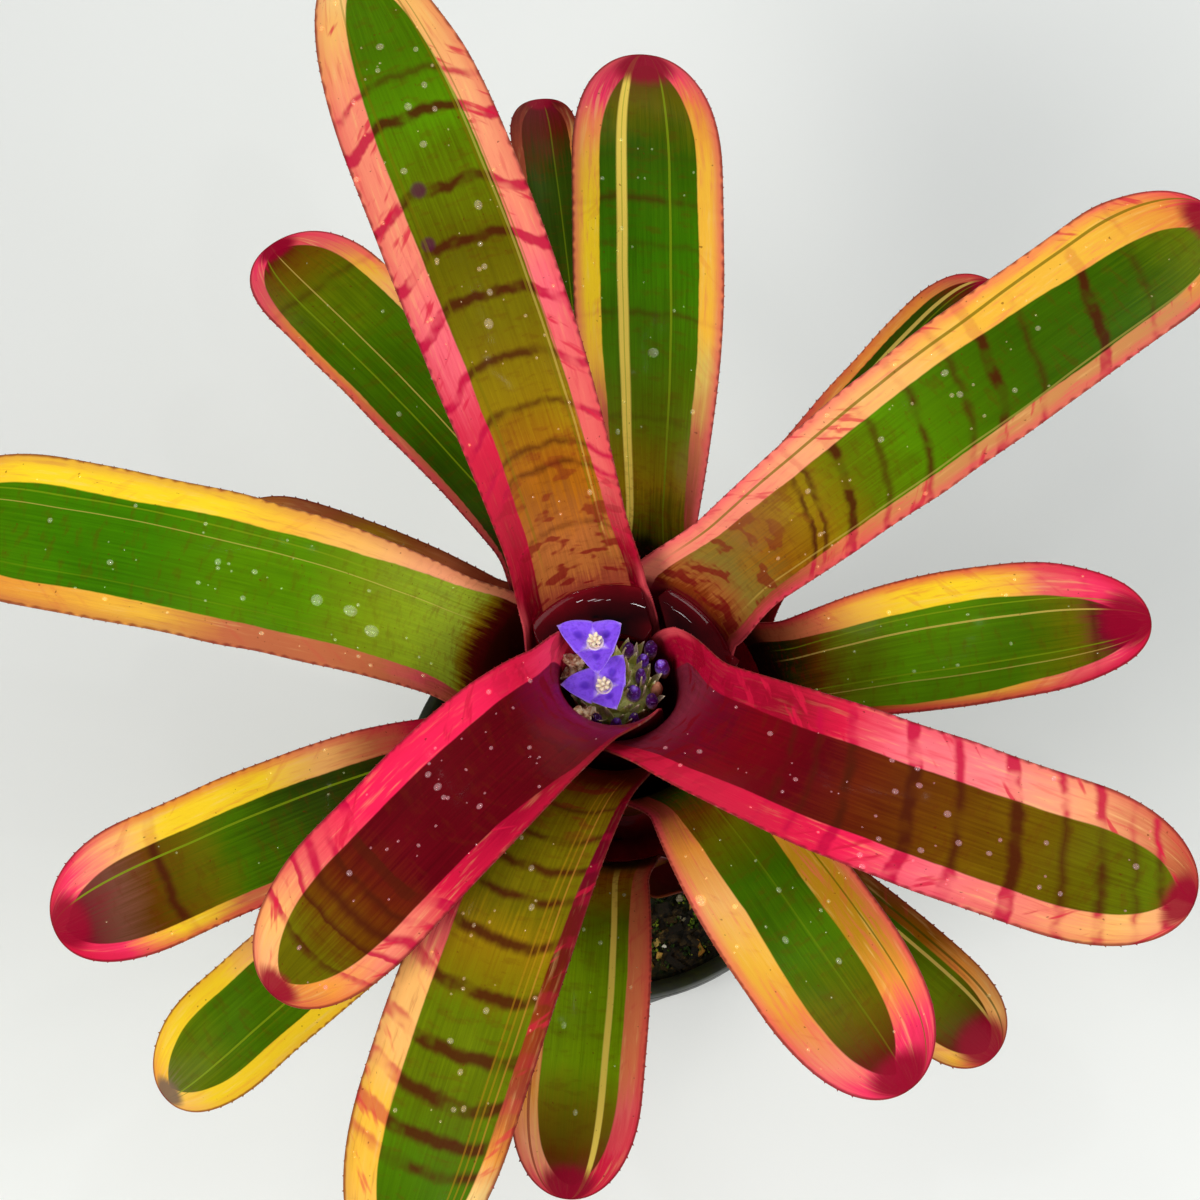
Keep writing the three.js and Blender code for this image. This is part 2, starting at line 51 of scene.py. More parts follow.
PALETTE = dict(
    plum=(84, 6, 52), maroon=(112, 6, 34), wine=(96, 2, 16), umber=(100, 30, 8), brown=(104, 60, 3),
    bronze=(112, 84, 3), amber=(170, 98, 16), olive=(102, 96, 3), moss=(98, 114, 3),
    lime=(126, 148, 18), grass=(88, 136, 2), green=(72, 112, 1), leaf=(58, 96, 1), forest=(48, 72, 3),
    dark=(40, 42, 5), black=(22, 10, 6), cerise=(170, 8, 48), crimson=(216, 24, 64),
    rose=(250, 56, 100), pink=(250, 106, 120), salmon=(250, 140, 112), shell=(251, 166, 118),
    peach=(251, 186, 104), cream=(248, 208, 130), straw=(222, 190, 92), gold=(248, 188, 62),
    yellow=(252, 212, 40), orange=(238, 152, 60), clay=(198, 108, 68), rust=(160, 70, 46),
    grey=(120, 96, 78), violet=(134, 78, 240), indigo=(78, 20, 190), lilac=(182, 150, 250),
    mauve=(206, 160, 214), ivory=(252, 236, 206), grape=(94, 16, 120), aubergine=(52, 6, 66),
    fuchsia=(134, 12, 62), carmine=(150, 12, 36), scarlet=(248, 34, 84), coral=(234, 100, 96),
    blush=(254, 132, 132), ruby=(196, 6, 62), ochre=(148, 118, 8), honey=(184, 134, 24),
    mulberry=(108, 30, 58), khaki=(118, 106, 6), sepia=(76, 24, 8), tan=(176, 100, 46),
    drab=(136, 112, 42), pea=(156, 174, 44), celery=(206, 214, 112), dusk=(128, 38, 58),
    garnet=(122, 4, 20), lip=(226, 84, 92), toffee=(146, 90, 6), sienna=(150, 62, 22),
    sap=(146, 170, 30), emerald=(62, 120, 1), butter=(246, 214, 92), rosewood=(114, 66, 50),
    spring=(122, 156, 3), purple=(84, 20, 56), terra=(228, 122, 78), sand=(214, 144, 84),
    apex=(146, 2, 40),
    # deep is painted shade, for the bottom of the cups down in the sheaths.
    edging=(118, 20, 30), deep=(84, 10, 16), dull=(112, 104, 66), scurf=(190, 184, 160),
    pollen=(252, 236, 204), chalk=(240, 236, 214), fawn=(190, 124, 96), soot=(18, 19, 19),
    slate=(32, 33, 32), dust=(120, 116, 98), algae=(34, 42, 14), slime=(24, 34, 6), char=(16, 12, 6),
)


def linear(colour):
    """The linear colour that a shader takes, from a palette name or from sRGB values as "r/g/b"."""
    triple = PALETTE[colour] if colour in PALETTE else map(int, colour.split("/"))
    values = [c / 255 for c in triple]
    return tuple(c / 12.92 if c < 0.04045 else ((c + 0.055) / 1.055) ** 2.4 for c in values) + (1.0,)


def stops(text):
    """The text "0 wine, .4 rose" as a list of (place, linear colour)."""
    pairs = [item.split() for item in text.split(",")]
    return [(float(place), linear(name)) for place, name in pairs]


class Value:
    """What a node of a net gives. Sums, products and powers of it add a node each."""

    def __init__(self, net, socket):
        self.net = net
        self.socket = socket

    def __add__(self, other):
        return self.net.math("ADD", self, other)

    def __sub__(self, other):
        return self.net.math("SUBTRACT", self, other)

    def __mul__(self, other):
        return self.net.math("MULTIPLY", self, other)

    def __pow__(self, power):
        return self.net.math("POWER", self, power)

    def __abs__(self):
        return self.net.math("ABSOLUTE", self, 0.0)

    def span(self, low, high, to_low=0.0, to_high=1.0, smooth=True):
        """The value from low..high to to_low..to_high, clamped at both ends."""
        kind = "SMOOTHSTEP" if smooth else "LINEAR"
        inputs = {"Value": self, "From Min": low, "From Max": high, "To Min": to_low, "To Max": to_high}
        return self.net.add("ShaderNodeMapRange", inputs, interpolation_type=kind)

    def sway(self, reach):
        """Noise as a shift to either side, reach from one extreme to the other."""
        return (self - 0.5) * reach


class Net:
    """A procedural material being built: each method adds a node and gives its value."""

    def __init__(self, name):
        self.material = bpy.data.materials.new(name)
        self.material.use_nodes = True
        self.tree = self.material.node_tree
        self.tree.nodes.clear()

    def node(self, kind, inputs, **settings):
        node = self.tree.nodes.new(kind)
        for key, value in settings.items():
            setattr(node, key, value)
        for key, value in inputs.items():
            if isinstance(value, Value):
                self.tree.links.new(value.socket, node.inputs[key])
            else:
                node.inputs[key].default_value = value
        return node

    def add(self, kind, inputs, output=0, **settings):
        return Value(self, self.node(kind, inputs, **settings).outputs[output])

    def attributes(self, names):
        return [self.add("ShaderNodeAttribute", {}, "Fac", attribute_name=name) for name in names.split()]

    def place(self, *scale):
        """The place on the piece in metres, along each axis times its scale if scales are given."""
        place = self.add("ShaderNodeTexCoord", {}, "Object")
        if scale:
            place = self.add("ShaderNodeVectorMath", {0: place, 1: scale}, operation="MULTIPLY")
        return place

    def math(self, operation, a, b):
        return self.add("ShaderNodeMath", {0: a, 1: b}, operation=operation)

    def vector(self, x, y, z=0.0):
        return self.add("ShaderNodeCombineXYZ", {"X": x, "Y": y, "Z": z})

    def noise(self, vector, scale=1.0, detail=2.0, roughness=0.5):
        inputs = {"Vector": vector, "Scale": scale, "Detail": detail, "Roughness": roughness}
        return self.add("ShaderNodeTexNoise", inputs)

    def mix(self, mask, a, b, blend="MIX"):
        """Colour a where the mask is 0 and b where it is 1."""
        return self.add("ShaderNodeMix", {0: mask, 6: a, 7: b}, 2, data_type="RGBA", blend_type=blend)

    def blend(self, mask, a, b):
        """Value a where the mask is 0 and b where it is 1."""
        return self.add("ShaderNodeMix", {0: mask, 2: a, 3: b}, 0, data_type="FLOAT")

    def tint(self, colour, mask, name):
        """The colour, taken over by a named one where the mask is 1."""
        return self.mix(mask, colour, linear(name))

    def pick(self, kind, looks):
        """The first look where kind is 0, the second where it is 1, and so on."""
        colour = looks[0]
        for number, look in enumerate(looks[1:]):
            colour = self.mix(kind.span(number + 0.4, number + 0.6), colour, look)
        return colour

    def ramp(self, place, marks):
        """A ramp through (place, colour) or (place, value) marks."""
        node = self.node("ShaderNodeValToRGB", {"Fac": place})
        elements = node.color_ramp.elements
        while len(elements) < len(marks):
            elements.new(1.0)
        for element, (at, colour) in zip(elements, sorted(marks)):
            element.position = at
            element.color = colour if isinstance(colour, tuple) else (colour, colour, colour, 1.0)
        return Value(self, node.outputs["Color"])

    def bump(self, height, strength, distance):
        return self.add("ShaderNodeBump", {"Height": height, "Strength": strength, "Distance": distance})

    def finish(self, **sockets):
        """The Principled shader, its sockets named with _ for a space, and the output."""
        named = {key.replace("_", " "): value for key, value in sockets.items()}
        self.node("ShaderNodeOutputMaterial", {"Surface": self.add("ShaderNodeBsdfPrincipled", named)})
        return self.material


# ------------------------------------------------------------------------------------- mesh helpers

def make_piece(name, points, faces, material, nodes=(), smooth=True, attributes=None, uv=None):
    """A piece from points in mm and faces, riding on the one body and standing for the nodes given."""
    mesh = bpy.data.meshes.new(name)
    mesh.from_pydata((np.asarray(points, float) * MM).tolist(), [], faces)
    for key, values in (attributes or {}).items():
        layer = mesh.attributes.new(key, "FLOAT", "POINT")
        layer.data.foreach_set("value", np.asarray(values, np.float32).ravel())
    if uv is not None:
        layer = mesh.uv_layers.new(name="OFBake")
        corners = np.empty(len(mesh.loops), np.int32)
        mesh.loops.foreach_get("vertex_index", corners)
        layer.data.foreach_set("uv", np.asarray(uv, np.float32)[corners].ravel())
    mesh.polygons.foreach_set("use_smooth", [smooth] * len(mesh.polygons))
    mesh.materials.append(material)
    mesh.update()
    piece = bpy.data.objects.new(name, mesh)
    bpy.context.scene.collection.objects.link(piece)
    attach(piece, "root")
    if nodes:
        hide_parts(*nodes)
    return piece


class Heap:
    """Points, faces and named values of many small closed shapes that become one piece."""

    def __init__(self, *names):
        self.points = []
        self.faces = []
        self.values = {name: [] for name in names}
        self.count = 0

    def add(self, points, faces, **values):
        points = np.asarray(points, float)
        self.points.append(points)
        self.faces.extend([tuple(int(i) + self.count for i in face) for face in faces])
        for name, store in self.values.items():
            store.append(np.broadcast_to(values.get(name, 0.0), len(points)))
        self.count += len(points)

    def piece(self, name, material, slot, nodes=(), smooth=True):
        attributes = {key: np.concatenate(store) for key, store in self.values.items()}
        return make_piece(name, np.concatenate(self.points), self.faces, material, nodes,
                          smooth, attributes)


def around(count):
    """Angles spaced evenly round a full turn, from 0."""
    return np.arange(count) * 2 * pi / count


def tube_faces(rows, loop):
    """The sides of a strip of rows, each a loop of points."""
    faces = []
    for row in range(rows - 1):
        for i in range(loop):
            a, b = row * loop + i, row * loop + (i + 1) % loop
            faces.append((a, b, b + loop, a + loop))
    return faces


def dome_faces(rows, loop):
    """Faces of a strip of rows with a polygon under the first and one more point over the last."""
    last, tip = (rows - 1) * loop, rows * loop
    faces = tube_faces(rows, loop)
    faces.append(tuple(reversed(range(loop))))
    return faces + [(last + i, last + (i + 1) % loop, tip) for i in range(loop)]


def spindle_faces(rows, loop):
    """Faces of a strip of rows with one more point under the first and another over the last."""
    last, low, high = (rows - 1) * loop, rows * loop, rows * loop + 1
    faces = tube_faces(rows, loop)
    for i in range(loop):
        j = (i + 1) % loop
        faces.append((low, j, i))
        faces.append((high, last + i, last + j))
    return faces


def lathe(profile, sides):
    """A closed solid turned round Z from (radius, height) points that start and end on the axis."""
    inner = profile[1:-1]
    points = [(0, 0, profile[0][1])]
    points += [(r * cos(a), r * sin(a), z) for r, z in inner for a in around(sides)]
    points.append((0, 0, profile[-1][1]))
    last = len(points) - 1
    faces = []
    for i in range(sides):
        j = (i + 1) % sides
        faces.append((0, 1 + j, 1 + i))
        faces.append((last, 1 + (len(inner) - 1) * sides + i, 1 + (len(inner) - 1) * sides + j))
        for ring in range(len(inner) - 1):
            a = 1 + ring * sides
            faces.append((a + i, a + j, a + sides + j, a + sides + i))
    return np.array(points), faces


def ball(columns):
    """A unit sphere of six bands: its points and faces."""
    profile = [(sin(pi * i / 6), -cos(pi * i / 6)) for i in range(7)]
    return lathe(profile, columns)


def frame_at(direction, turn=0.0):
    """A 3 by 3 matrix whose third column is the direction given, turned about it."""
    z = Vector(direction).normalized()
    matrix = z.to_track_quat("Z", "Y").to_matrix() @ Matrix.Rotation(turn, 3, "Z")
    return np.array(matrix)


def ripple(x, y, z):
    """A smooth bounded value without pattern, from sines of unlike length."""
    return (np.sin(x * 1.0 + 1.7 * np.sin(y * 0.73 + z)) * np.cos(y * 1.13 - x * 0.41 + 2.1 * z)
            + 0.5 * np.sin(2.3 * x - 1.9 * y + 1.3 * np.sin(x * 1.7 + z)))


def grid(rows, columns):
    """t from 0 to 1 down the rows and v from -1 to 1 along the columns of a sheet."""
    return np.meshgrid(np.linspace(0, 1, rows), np.linspace(-1, 1, columns), indexing="ij")


def both(values):
    """The values of a grid, for the two faces of a slab made on it."""
    return np.tile(values.ravel(), 2)


def slab(upper, lower):
    """A closed sheet between two grids of points; upper lies on the side of rows x columns."""
    rows, columns = upper.shape[:2]
    points = np.concatenate([upper.reshape(-1, 3), lower.reshape(-1, 3)])
    under = rows * columns
    faces = []
    for r in range(rows - 1):
        for c in range(columns - 1):
            a = r * columns + c
            quad = (a, a + columns, a + columns + 1, a + 1)
            faces.append(quad)
            faces.append(tuple(under + i for i in reversed(quad)))
    rim = [r * columns for r in range(rows)]
    rim += [(rows - 1) * columns + c for c in range(1, columns)]
    rim += [r * columns + columns - 1 for r in range(rows - 2, -1, -1)]
    rim += list(range(columns - 2, 0, -1))
    for a, b in zip(rim, rim[1:] + rim[:1]):
        faces.append((b, a, under + a, under + b))
    return points, faces


def weld(points, faces):
    """Join points that coincide, and drop the faces that this leaves with fewer than three corners."""
    seen = {}
    kept = []
    index = []
    for point in np.round(points, 4):
        key = tuple(point)
        if key not in seen:
            seen[key] = len(kept)
            kept.append(point)
        index.append(seen[key])
    joined = [tuple(dict.fromkeys(index[i] for i in face)) for face in faces]
    return np.array(kept), [face for face in joined if len(face) > 2]


def rings(profile, sides):
    """An open strip turned round Z through (radius, height) points; a radius of 0 makes a fan."""
    points = [(r * cos(a), r * sin(a), z) for r, z in profile for a in around(sides)]
    faces = []
    for ring in range(len(profile) - 1):
        for i in range(sides):
            a = ring * sides + i
            b = ring * sides + (i + 1) % sides
            if profile[ring][0] == 0:
                faces.append((a, b + sides, a + sides))
            elif profile[ring + 1][0] == 0:
                faces.append((a, b, a + sides))
            else:
                faces.append((a, b, b + sides, a + sides))
    return points, faces


def turn_about(points, axis, angles):
    """Points turned about an axis through the origin, each by its own angle."""
    axis = np.asarray(axis, float) / np.linalg.norm(axis)
    c, s = np.cos(angles)[:, None], np.sin(angles)[:, None]
    along = (points @ axis)[:, None] * axis
    return points * c + np.cross(axis, points) * s + along * (1 - c)


def search_tree(pieces):
    """A search tree over the faces of pieces, in mm."""
    points, faces = [], []
    for piece in pieces:
        base = len(points)
        points += [vertex.co / MM for vertex in piece.data.vertices]
        faces += [tuple(base + i for i in face.vertices) for face in piece.data.polygons]
    return BVHTree.FromPolygons(points, faces)


# ------------------------------------------------------------------------------------------- leaves

# The foot of each leaf stands a step further out and down from the top of the stem than the last.
STEM_TOP = 130.0
STEM_TOP_RADIUS = 8.0
STEP_OUT = 0.9
STEP_DOWN = 2.2
# The radius of the walls of the sheaths above their feet grows by a step from leaf to leaf.
SHELL_RADIUS = 12.5
SHELL_STEP = 1.7
# Half the width of a sheath's foot, the thickness of a leaf, and how far its margins stand up.
SHEATH_HALF = 13.0
LEAF_THICK = 1.1
CHANNEL = 3.2

# Each leaf, from the innermost: heading in degrees, sideways shift of its foot and bow of its midline,
# reach and height of the tip, rise at the lip and fall at the tip in degrees, widths at the widest, above
# the lip and at the lip, roll in degrees, radius and height of the lip of its sheath, and how far back
# from its end the tip starts to round off, in half widths.
KEYS = "toward shift bow reach tip rise fall wide neck waist roll cup lip taper".split()
ROWS = [
    (226, 0, -1, 118, 215, 74, 8, 38, 35, 46, 0, 15, 205, 1.4),
    (334.9, -4.5, -8, 152, 220, 66, 8, 40, 36.5, 50, 3, 18.5, 203, 1.5),
    (110.8, 0, -0.3, 197, 238, 62, 6, 41, 32, 36, -3, 27, 196, 2.9),
    (250, 2, -4, 158, 200, 60, 10, 39, 32, 36, 4, 24, 195, 1.8),
    (37, 8.5, -4, 194, 225, 60, 8, 39.5, 28.5, 36, -5, 33, 188, 1.5),
    (168, -3.5, 0.8, 181, 215, 60, 8, 41, 32.5, 38, 3, 35, 184, 1.5),
    (305.3, 0.5, -1.2, 125, 185, 60, 12, 40.5, 24, 33, -4, 29.5, 187, 1.4),
    (87.3, -6.4, -1.5, 175, 205, 58, 12, 40, 24, 34, 2, 39, 176, 1.7),
    (204, 0, 1, 153, 185, 58, 12, 34, 29, 33, -6, 38.5, 172, 1.4),
    (7.6, 4, -2, 139, 190, 58, 12, 36, 28, 34, 5, 42, 168, 2.2),
    (126, -14, -2, 158, 185, 56, 12, 33, 26, 32, -4, 43, 164, 1.3),
    (264.6, -1.5, 0.8, 127, 170, 56, 15, 32.5, 27, 33, 3, 39.5, 164, 1.4),
    (49.5, 0, 0, 162, 170, 52, 15, 26, 27, 33, 4, 45, 156, 1.7),
    (153.5, -11, -1, 119, 165, 52, 18, 25, 28, 33, -5, 46, 152, 1.4),
    (318, -2, 0, 131, 155, 48, 20, 27, 27, 33, 4, 47, 148, 1.4),
    (96.5, 0, 0, 185, 165, 50, 15, 19, 24, 30, 0, 48, 144, 1.5),
    (220.2, 0, -1, 151, 150, 45, 20, 30, 29, 34, -4, 49, 140, 1.5),
]
LEAVES = [dict(zip(KEYS, row), rank=rank) for rank, row in enumerate(ROWS, 1)]

# Places along the blade, from 0 at the lip to 1 at the tip.
NECK_END = 0.16
WIDEST = 0.62
FULL_CHANNEL = 0.35
FULL_ROLL = 0.6
# The handles of the blade's curve, and the length of the blade, as shares of the chord from lip to tip.
RISING_PULL = 0.27
FALLING_PULL = 0.396
LENGTH_SHARE = 1.06

SHEATH_ROWS = 22
BLADE_ROWS = 84
TIP_ROWS = 36
COLUMNS = 33
RIM_INSET = 0.985
# How much more the length than the width counts when the nearest edge is sought.
TIP_PULL = 2.0
EDGE_COUNTS = (120, 90)


def bezier(p, t):
    """Points at t along the cubic curve with the four points p."""
    t = np.asarray(t, float)[..., None]
    a, b, c, d = (np.asarray(point, float) for point in p)
    return (1 - t) ** 3 * a + 3 * t * (1 - t) ** 2 * b + 3 * t * t * (1 - t) * c + t ** 3 * d


class Leaf:
    """The shape of one leaf: its midline, its outline and any point of its two faces, in mm."""

    def __init__(self, facts):
        self.__dict__.update(facts)
        self.name = "leaf_%02d" % self.rank
        foot = (STEM_TOP_RADIUS + STEP_OUT * self.rank, STEM_TOP - STEP_DOWN * self.rank)
        wall = SHELL_RADIUS + SHELL_STEP * self.rank
        up, down = radians(self.rise), radians(-self.fall)
        rim = np.array((self.cup, self.lip), float)
        end = np.array((self.reach, self.tip), float)
        chord = hypot(*(end - rim))
        rising = np.array((cos(up), sin(up)))
        falling = np.array((cos(down), sin(down)))
        tall = self.lip - foot[1]
        self.blade = (rim, rim + rising * RISING_PULL * chord, end - falling * FALLING_PULL * chord, end)
        self.sheath = (foot, (wall + 2, foot[1] + 0.12 * tall), rim - rising * 0.16 * tall, rim)
        self.length = chord * LENGTH_SHARE
        self.tip_start = 1 - self.taper * (self.wide / 2) / self.length

    def open_width(self, s):
        """Half the width of the blade before the tip rounds it off."""
        t = np.clip(s, 0, 1)
        n = np.clip(t / NECK_END, 0, 1)
        neck = self.waist / 2 + (self.neck - self.waist) / 2 * (3 - 2 * n) * n * n
        swell = np.sin(np.clip(t / WIDEST, 0, 1) * pi / 2) ** 1.6
        return neck + (self.wide / 2 - neck) * swell

    def half_width(self, s):
        """Half the width of the sheath or the blade at s."""
        s = np.asarray(s, float)
        x = np.clip((np.clip(s, 0, 1) - self.tip_start) / (1 - self.tip_start), 0, 1)
        blade = np.maximum(self.open_width(s) * (1 - x ** 2.3) ** (1 / 2.1), 0.5)
        q = np.clip(-s, 0, 1)
        sheath = self.waist / 2 * (1 + 0.3 * np.sin(q * pi) ** 1.2) - q * (self.waist / 2 - SHEATH_HALF)
        return np.where(s < 0, sheath, blade)

    def midline(self, s):
        """Radius and height of the midline at s, and its direction."""
        s = np.asarray(s, float)
        point = np.where((s < 0)[..., None], bezier(self.sheath, np.clip(1 + s, 0, 1)),
                         bezier(self.blade, np.clip(s, 0, 1)))
        step = 1e-3
        near, low = np.clip(s, 0, 1 - step), np.clip(1 + s, 0, 1 - step)
        ahead = np.where((s < 0)[..., None], bezier(self.sheath, low + step) - bezier(self.sheath, low),
                         bezier(self.blade, near + step) - bezier(self.blade, near))
        return point, ahead / np.linalg.norm(ahead, axis=-1, keepdims=True)

    def waviness(self, s, v):
        """Slight waves of the blade, larger at its margins, in mm."""
        grown = np.clip((s - 0.12) / 0.25, 0, 1) * np.clip((1 - s) / 0.1, 0, 1)
        run = s * self.length
        phase = run / 5.6 + self.rank + 1.4 * np.sin(run / 13.0) + 2 * np.sign(v)
        margin = 0.42 * np.abs(v) ** 2.5 * np.sin(phase)
        return grown * (margin + 0.16 * ripple(run * 0.11, v * 2.2, self.rank * 1.7))

    def at(self, s, v, lift=0.0):
        """A point of the upper face, raised by lift."""
        s, v = np.broadcast_arrays(np.asarray(s, float), np.asarray(v, float))
        point, ahead = self.midline(s)
        w = self.half_width(s)
        t = np.clip(s, 0, 1)
        channel = CHANNEL * np.clip(t / FULL_CHANNEL, 0, 1) ** 1.5 * (w / (self.wide / 2)) ** 2 * v * v
        tilt = tan(radians(self.roll)) * v * w * np.sin(pi / 2 * np.clip(t / FULL_ROLL, 0, 1)) ** 2
        off = channel + tilt + lift + self.waviness(s, v)
        radius = point[..., 0] - ahead[..., 1] * off
        height = point[..., 1] + ahead[..., 0] * off
        aside = self.shift * (1 - t) + self.bow * np.sin(pi * t ** 0.8)
        aside = aside / np.where(s < 0, self.cup, point[..., 0])
        turn = radians(self.toward) + aside + v * w / point[..., 0]
        return np.stack([radius * np.cos(turn), radius * np.sin(turn), height], -1)

    def spot(self, s, v):
        """A point of the upper face with its outward normal and its direction towards the tip."""
        e = 0.004
        point = self.at(s, v)
        forward = self.at(s + e, v) - self.at(s - e, v)
        left = self.at(s, v + e) - self.at(s, v - e)
        normal = np.cross(forward, left)
        return point, normal / np.linalg.norm(normal), forward / np.linalg.norm(forward)

    def places(self, blade_count, tip_count):
        """Places along the blade, even up to its rounded tip and closer together towards the end."""
        tip = self.tip_start + (1 - self.tip_start) * np.sin(np.linspace(0, pi / 2, tip_count))
        return np.concatenate([np.linspace(0, self.tip_start, blade_count)[:-1], tip])

    def edge_share(self, s, v):
        """0 on the midline to 1 at the margin, measured to the nearest edge, so it wraps the tip."""
        t = self.places(*EDGE_COUNTS)
        edge = np.stack([t * self.length * TIP_PULL, self.half_width(t)], -1)
        at = np.stack([s * self.length * TIP_PULL, np.abs(v) * self.half_width(s)], -1).reshape(-1, 2)
        gap = np.sqrt(((at[:, None] - edge[None]) ** 2).sum(-1)).min(1).reshape(s.shape)
        share = 1 - gap / self.open_width(s)
        return np.where(s < 0.05, np.abs(v), np.clip(share, 0, 1))


def leaf_map(along, across, under):
    """The place of a point in the map of a leaf: the upper face on its left half, the back on its right."""
    column = np.where(under > 0.5, 0.5, 0.0) + (across + 1) / 2 * 0.48 + 0.01
    return np.stack([column, (along + 1) / 2 * 0.98 + 0.01], -1)


def build_leaf(leaf, material):
    """A leaf as one closed strip from the foot of its sheath to its tip, with spines on its margins."""
    rows = np.concatenate([np.linspace(-1, 0, SHEATH_ROWS)[:-1], leaf.places(BLADE_ROWS, TIP_ROWS)])
    columns = RIM_INSET * np.sin(np.linspace(-pi / 2, pi / 2, COLUMNS))
    loop_v = np.concatenate([columns, [1.0], columns[::-1], [-1.0]])
    depth = np.concatenate([np.zeros(COLUMNS), [0.5], np.ones(COLUMNS), [0.5]])
    s, v = np.meshgrid(rows, loop_v, indexing="ij")
    under = np.broadcast_to(depth, s.shape)
    points = leaf.at(s, v, -under * LEAF_THICK * (1 - 0.35 * v * v)).reshape(-1, 3)
    count = len(loop_v)
    faces = tube_faces(len(rows), count)
    for row, flip in ((0, False), (len(rows) - 1, True)):
        a = row * count
        b = a + 2 * COLUMNS
        rung = [(a + i, a + i + 1, b - i - 1, b - i) for i in range(COLUMNS - 1)]
        rung.append((a + COLUMNS - 1, a + COLUMNS, a + COLUMNS + 1))
        rung.append((a, b, b + 1))
        faces += [tuple(reversed(f)) if flip else f for f in rung]
    share = leaf.edge_share(s, v)
    values = dict(along=s.ravel(), across=v.ravel(), rim=share.ravel(), under=under.ravel())
    points, faces, values = add_spines(leaf, points, faces, values)
    return make_piece(leaf.name + "_blade", points, faces, material, (leaf.name,), attributes=values,
                      uv=leaf_map(values["along"], values["across"], values["under"]))


# Spines run along each margin from a little below the lip to near the tip.
SPINES_FROM, SPINES_TO = -0.15, 0.96
SPINE_STEP = 2.7
SPINE_LONG = 0.5


def add_spines(leaf, points, faces, values):
    """Small forward spines along both margins, sunk into the edge they grow from."""
    new_points, new_faces = [], []
    store = {key: [] for key in values}
    count = len(points)
    for side in (-1, 1):
        for s in np.arange(SPINES_FROM, SPINES_TO, SPINE_STEP / leaf.length):
            point, normal, forward = leaf.spot(s, side * RIM_INSET)
            out = np.cross(forward, normal) * -side
            base = point - normal * LEAF_THICK * 0.33
            back = base - forward * 0.3
            size = SPINE_LONG * (0.8 + 0.2 * sin(37 * s + side))
            ring = [base + forward * 0.42, back + normal * 0.2, back - normal * 0.2]
            new_points += [p - out * 0.1 for p in ring] + [base + out * size + forward * size * 0.6]
            a = count + len(new_points) - 4
            order = (0, 1, 2) if side > 0 else (0, 2, 1)
            new_faces += [tuple(a + i for i in reversed(order))]
            new_faces += [(a + order[i], a + order[(i + 1) % 3], a + 3) for i in range(3)]
            for key, value in (("along", s), ("across", side), ("rim", 1.0), ("under", 0.0)):
                store[key] += [value] * 4
    merged = {key: np.concatenate([values[key], store[key]]) for key in values}
    return np.concatenate([points, new_points]), faces + new_faces, merged


# ------------------------------------------------------------------------------- leaf colours

# For each leaf, with stops as a text of "place value, ..." along the blade:
#   centre, left, right  colours of the centre and of the anticlockwise and clockwise margins
#   starts               where each margin starts, as a share of the half width
#   flush                colour that flushes the outer edge, and how much
#   blotch               how blotched the margins are
#   apex                 length of the dark spot at the tip in mm
# and, where it differs from PLAIN_LOOK:
#   lines                lines along the blade as (across, half width, colour, strength)
#   spots                single dark spots as (along, across, radius in mm)
#   bands                dark bands across the blade, each place with its strength
#   sag, slant           how far the bands drop towards the foot at the margins, and lean across
#   quiet                strength of the bands on the left margin
#   calm                 how much of the specks near the foot is left on the margins
#   spot                 colour of the spot at the tip
#   throat, husk         colour and start of the painted shade down the wall of the cup, partly the
#                        wall's own red on the inner leaves, and the look of the back of the sheath
PLAIN_LOOK = dict(lines=[], spots=[], bands="", sag=0.01, slant=0, throat=("black", 0.1), husk="umber",
                  calm=0.5, quiet=1.0, spot="apex")
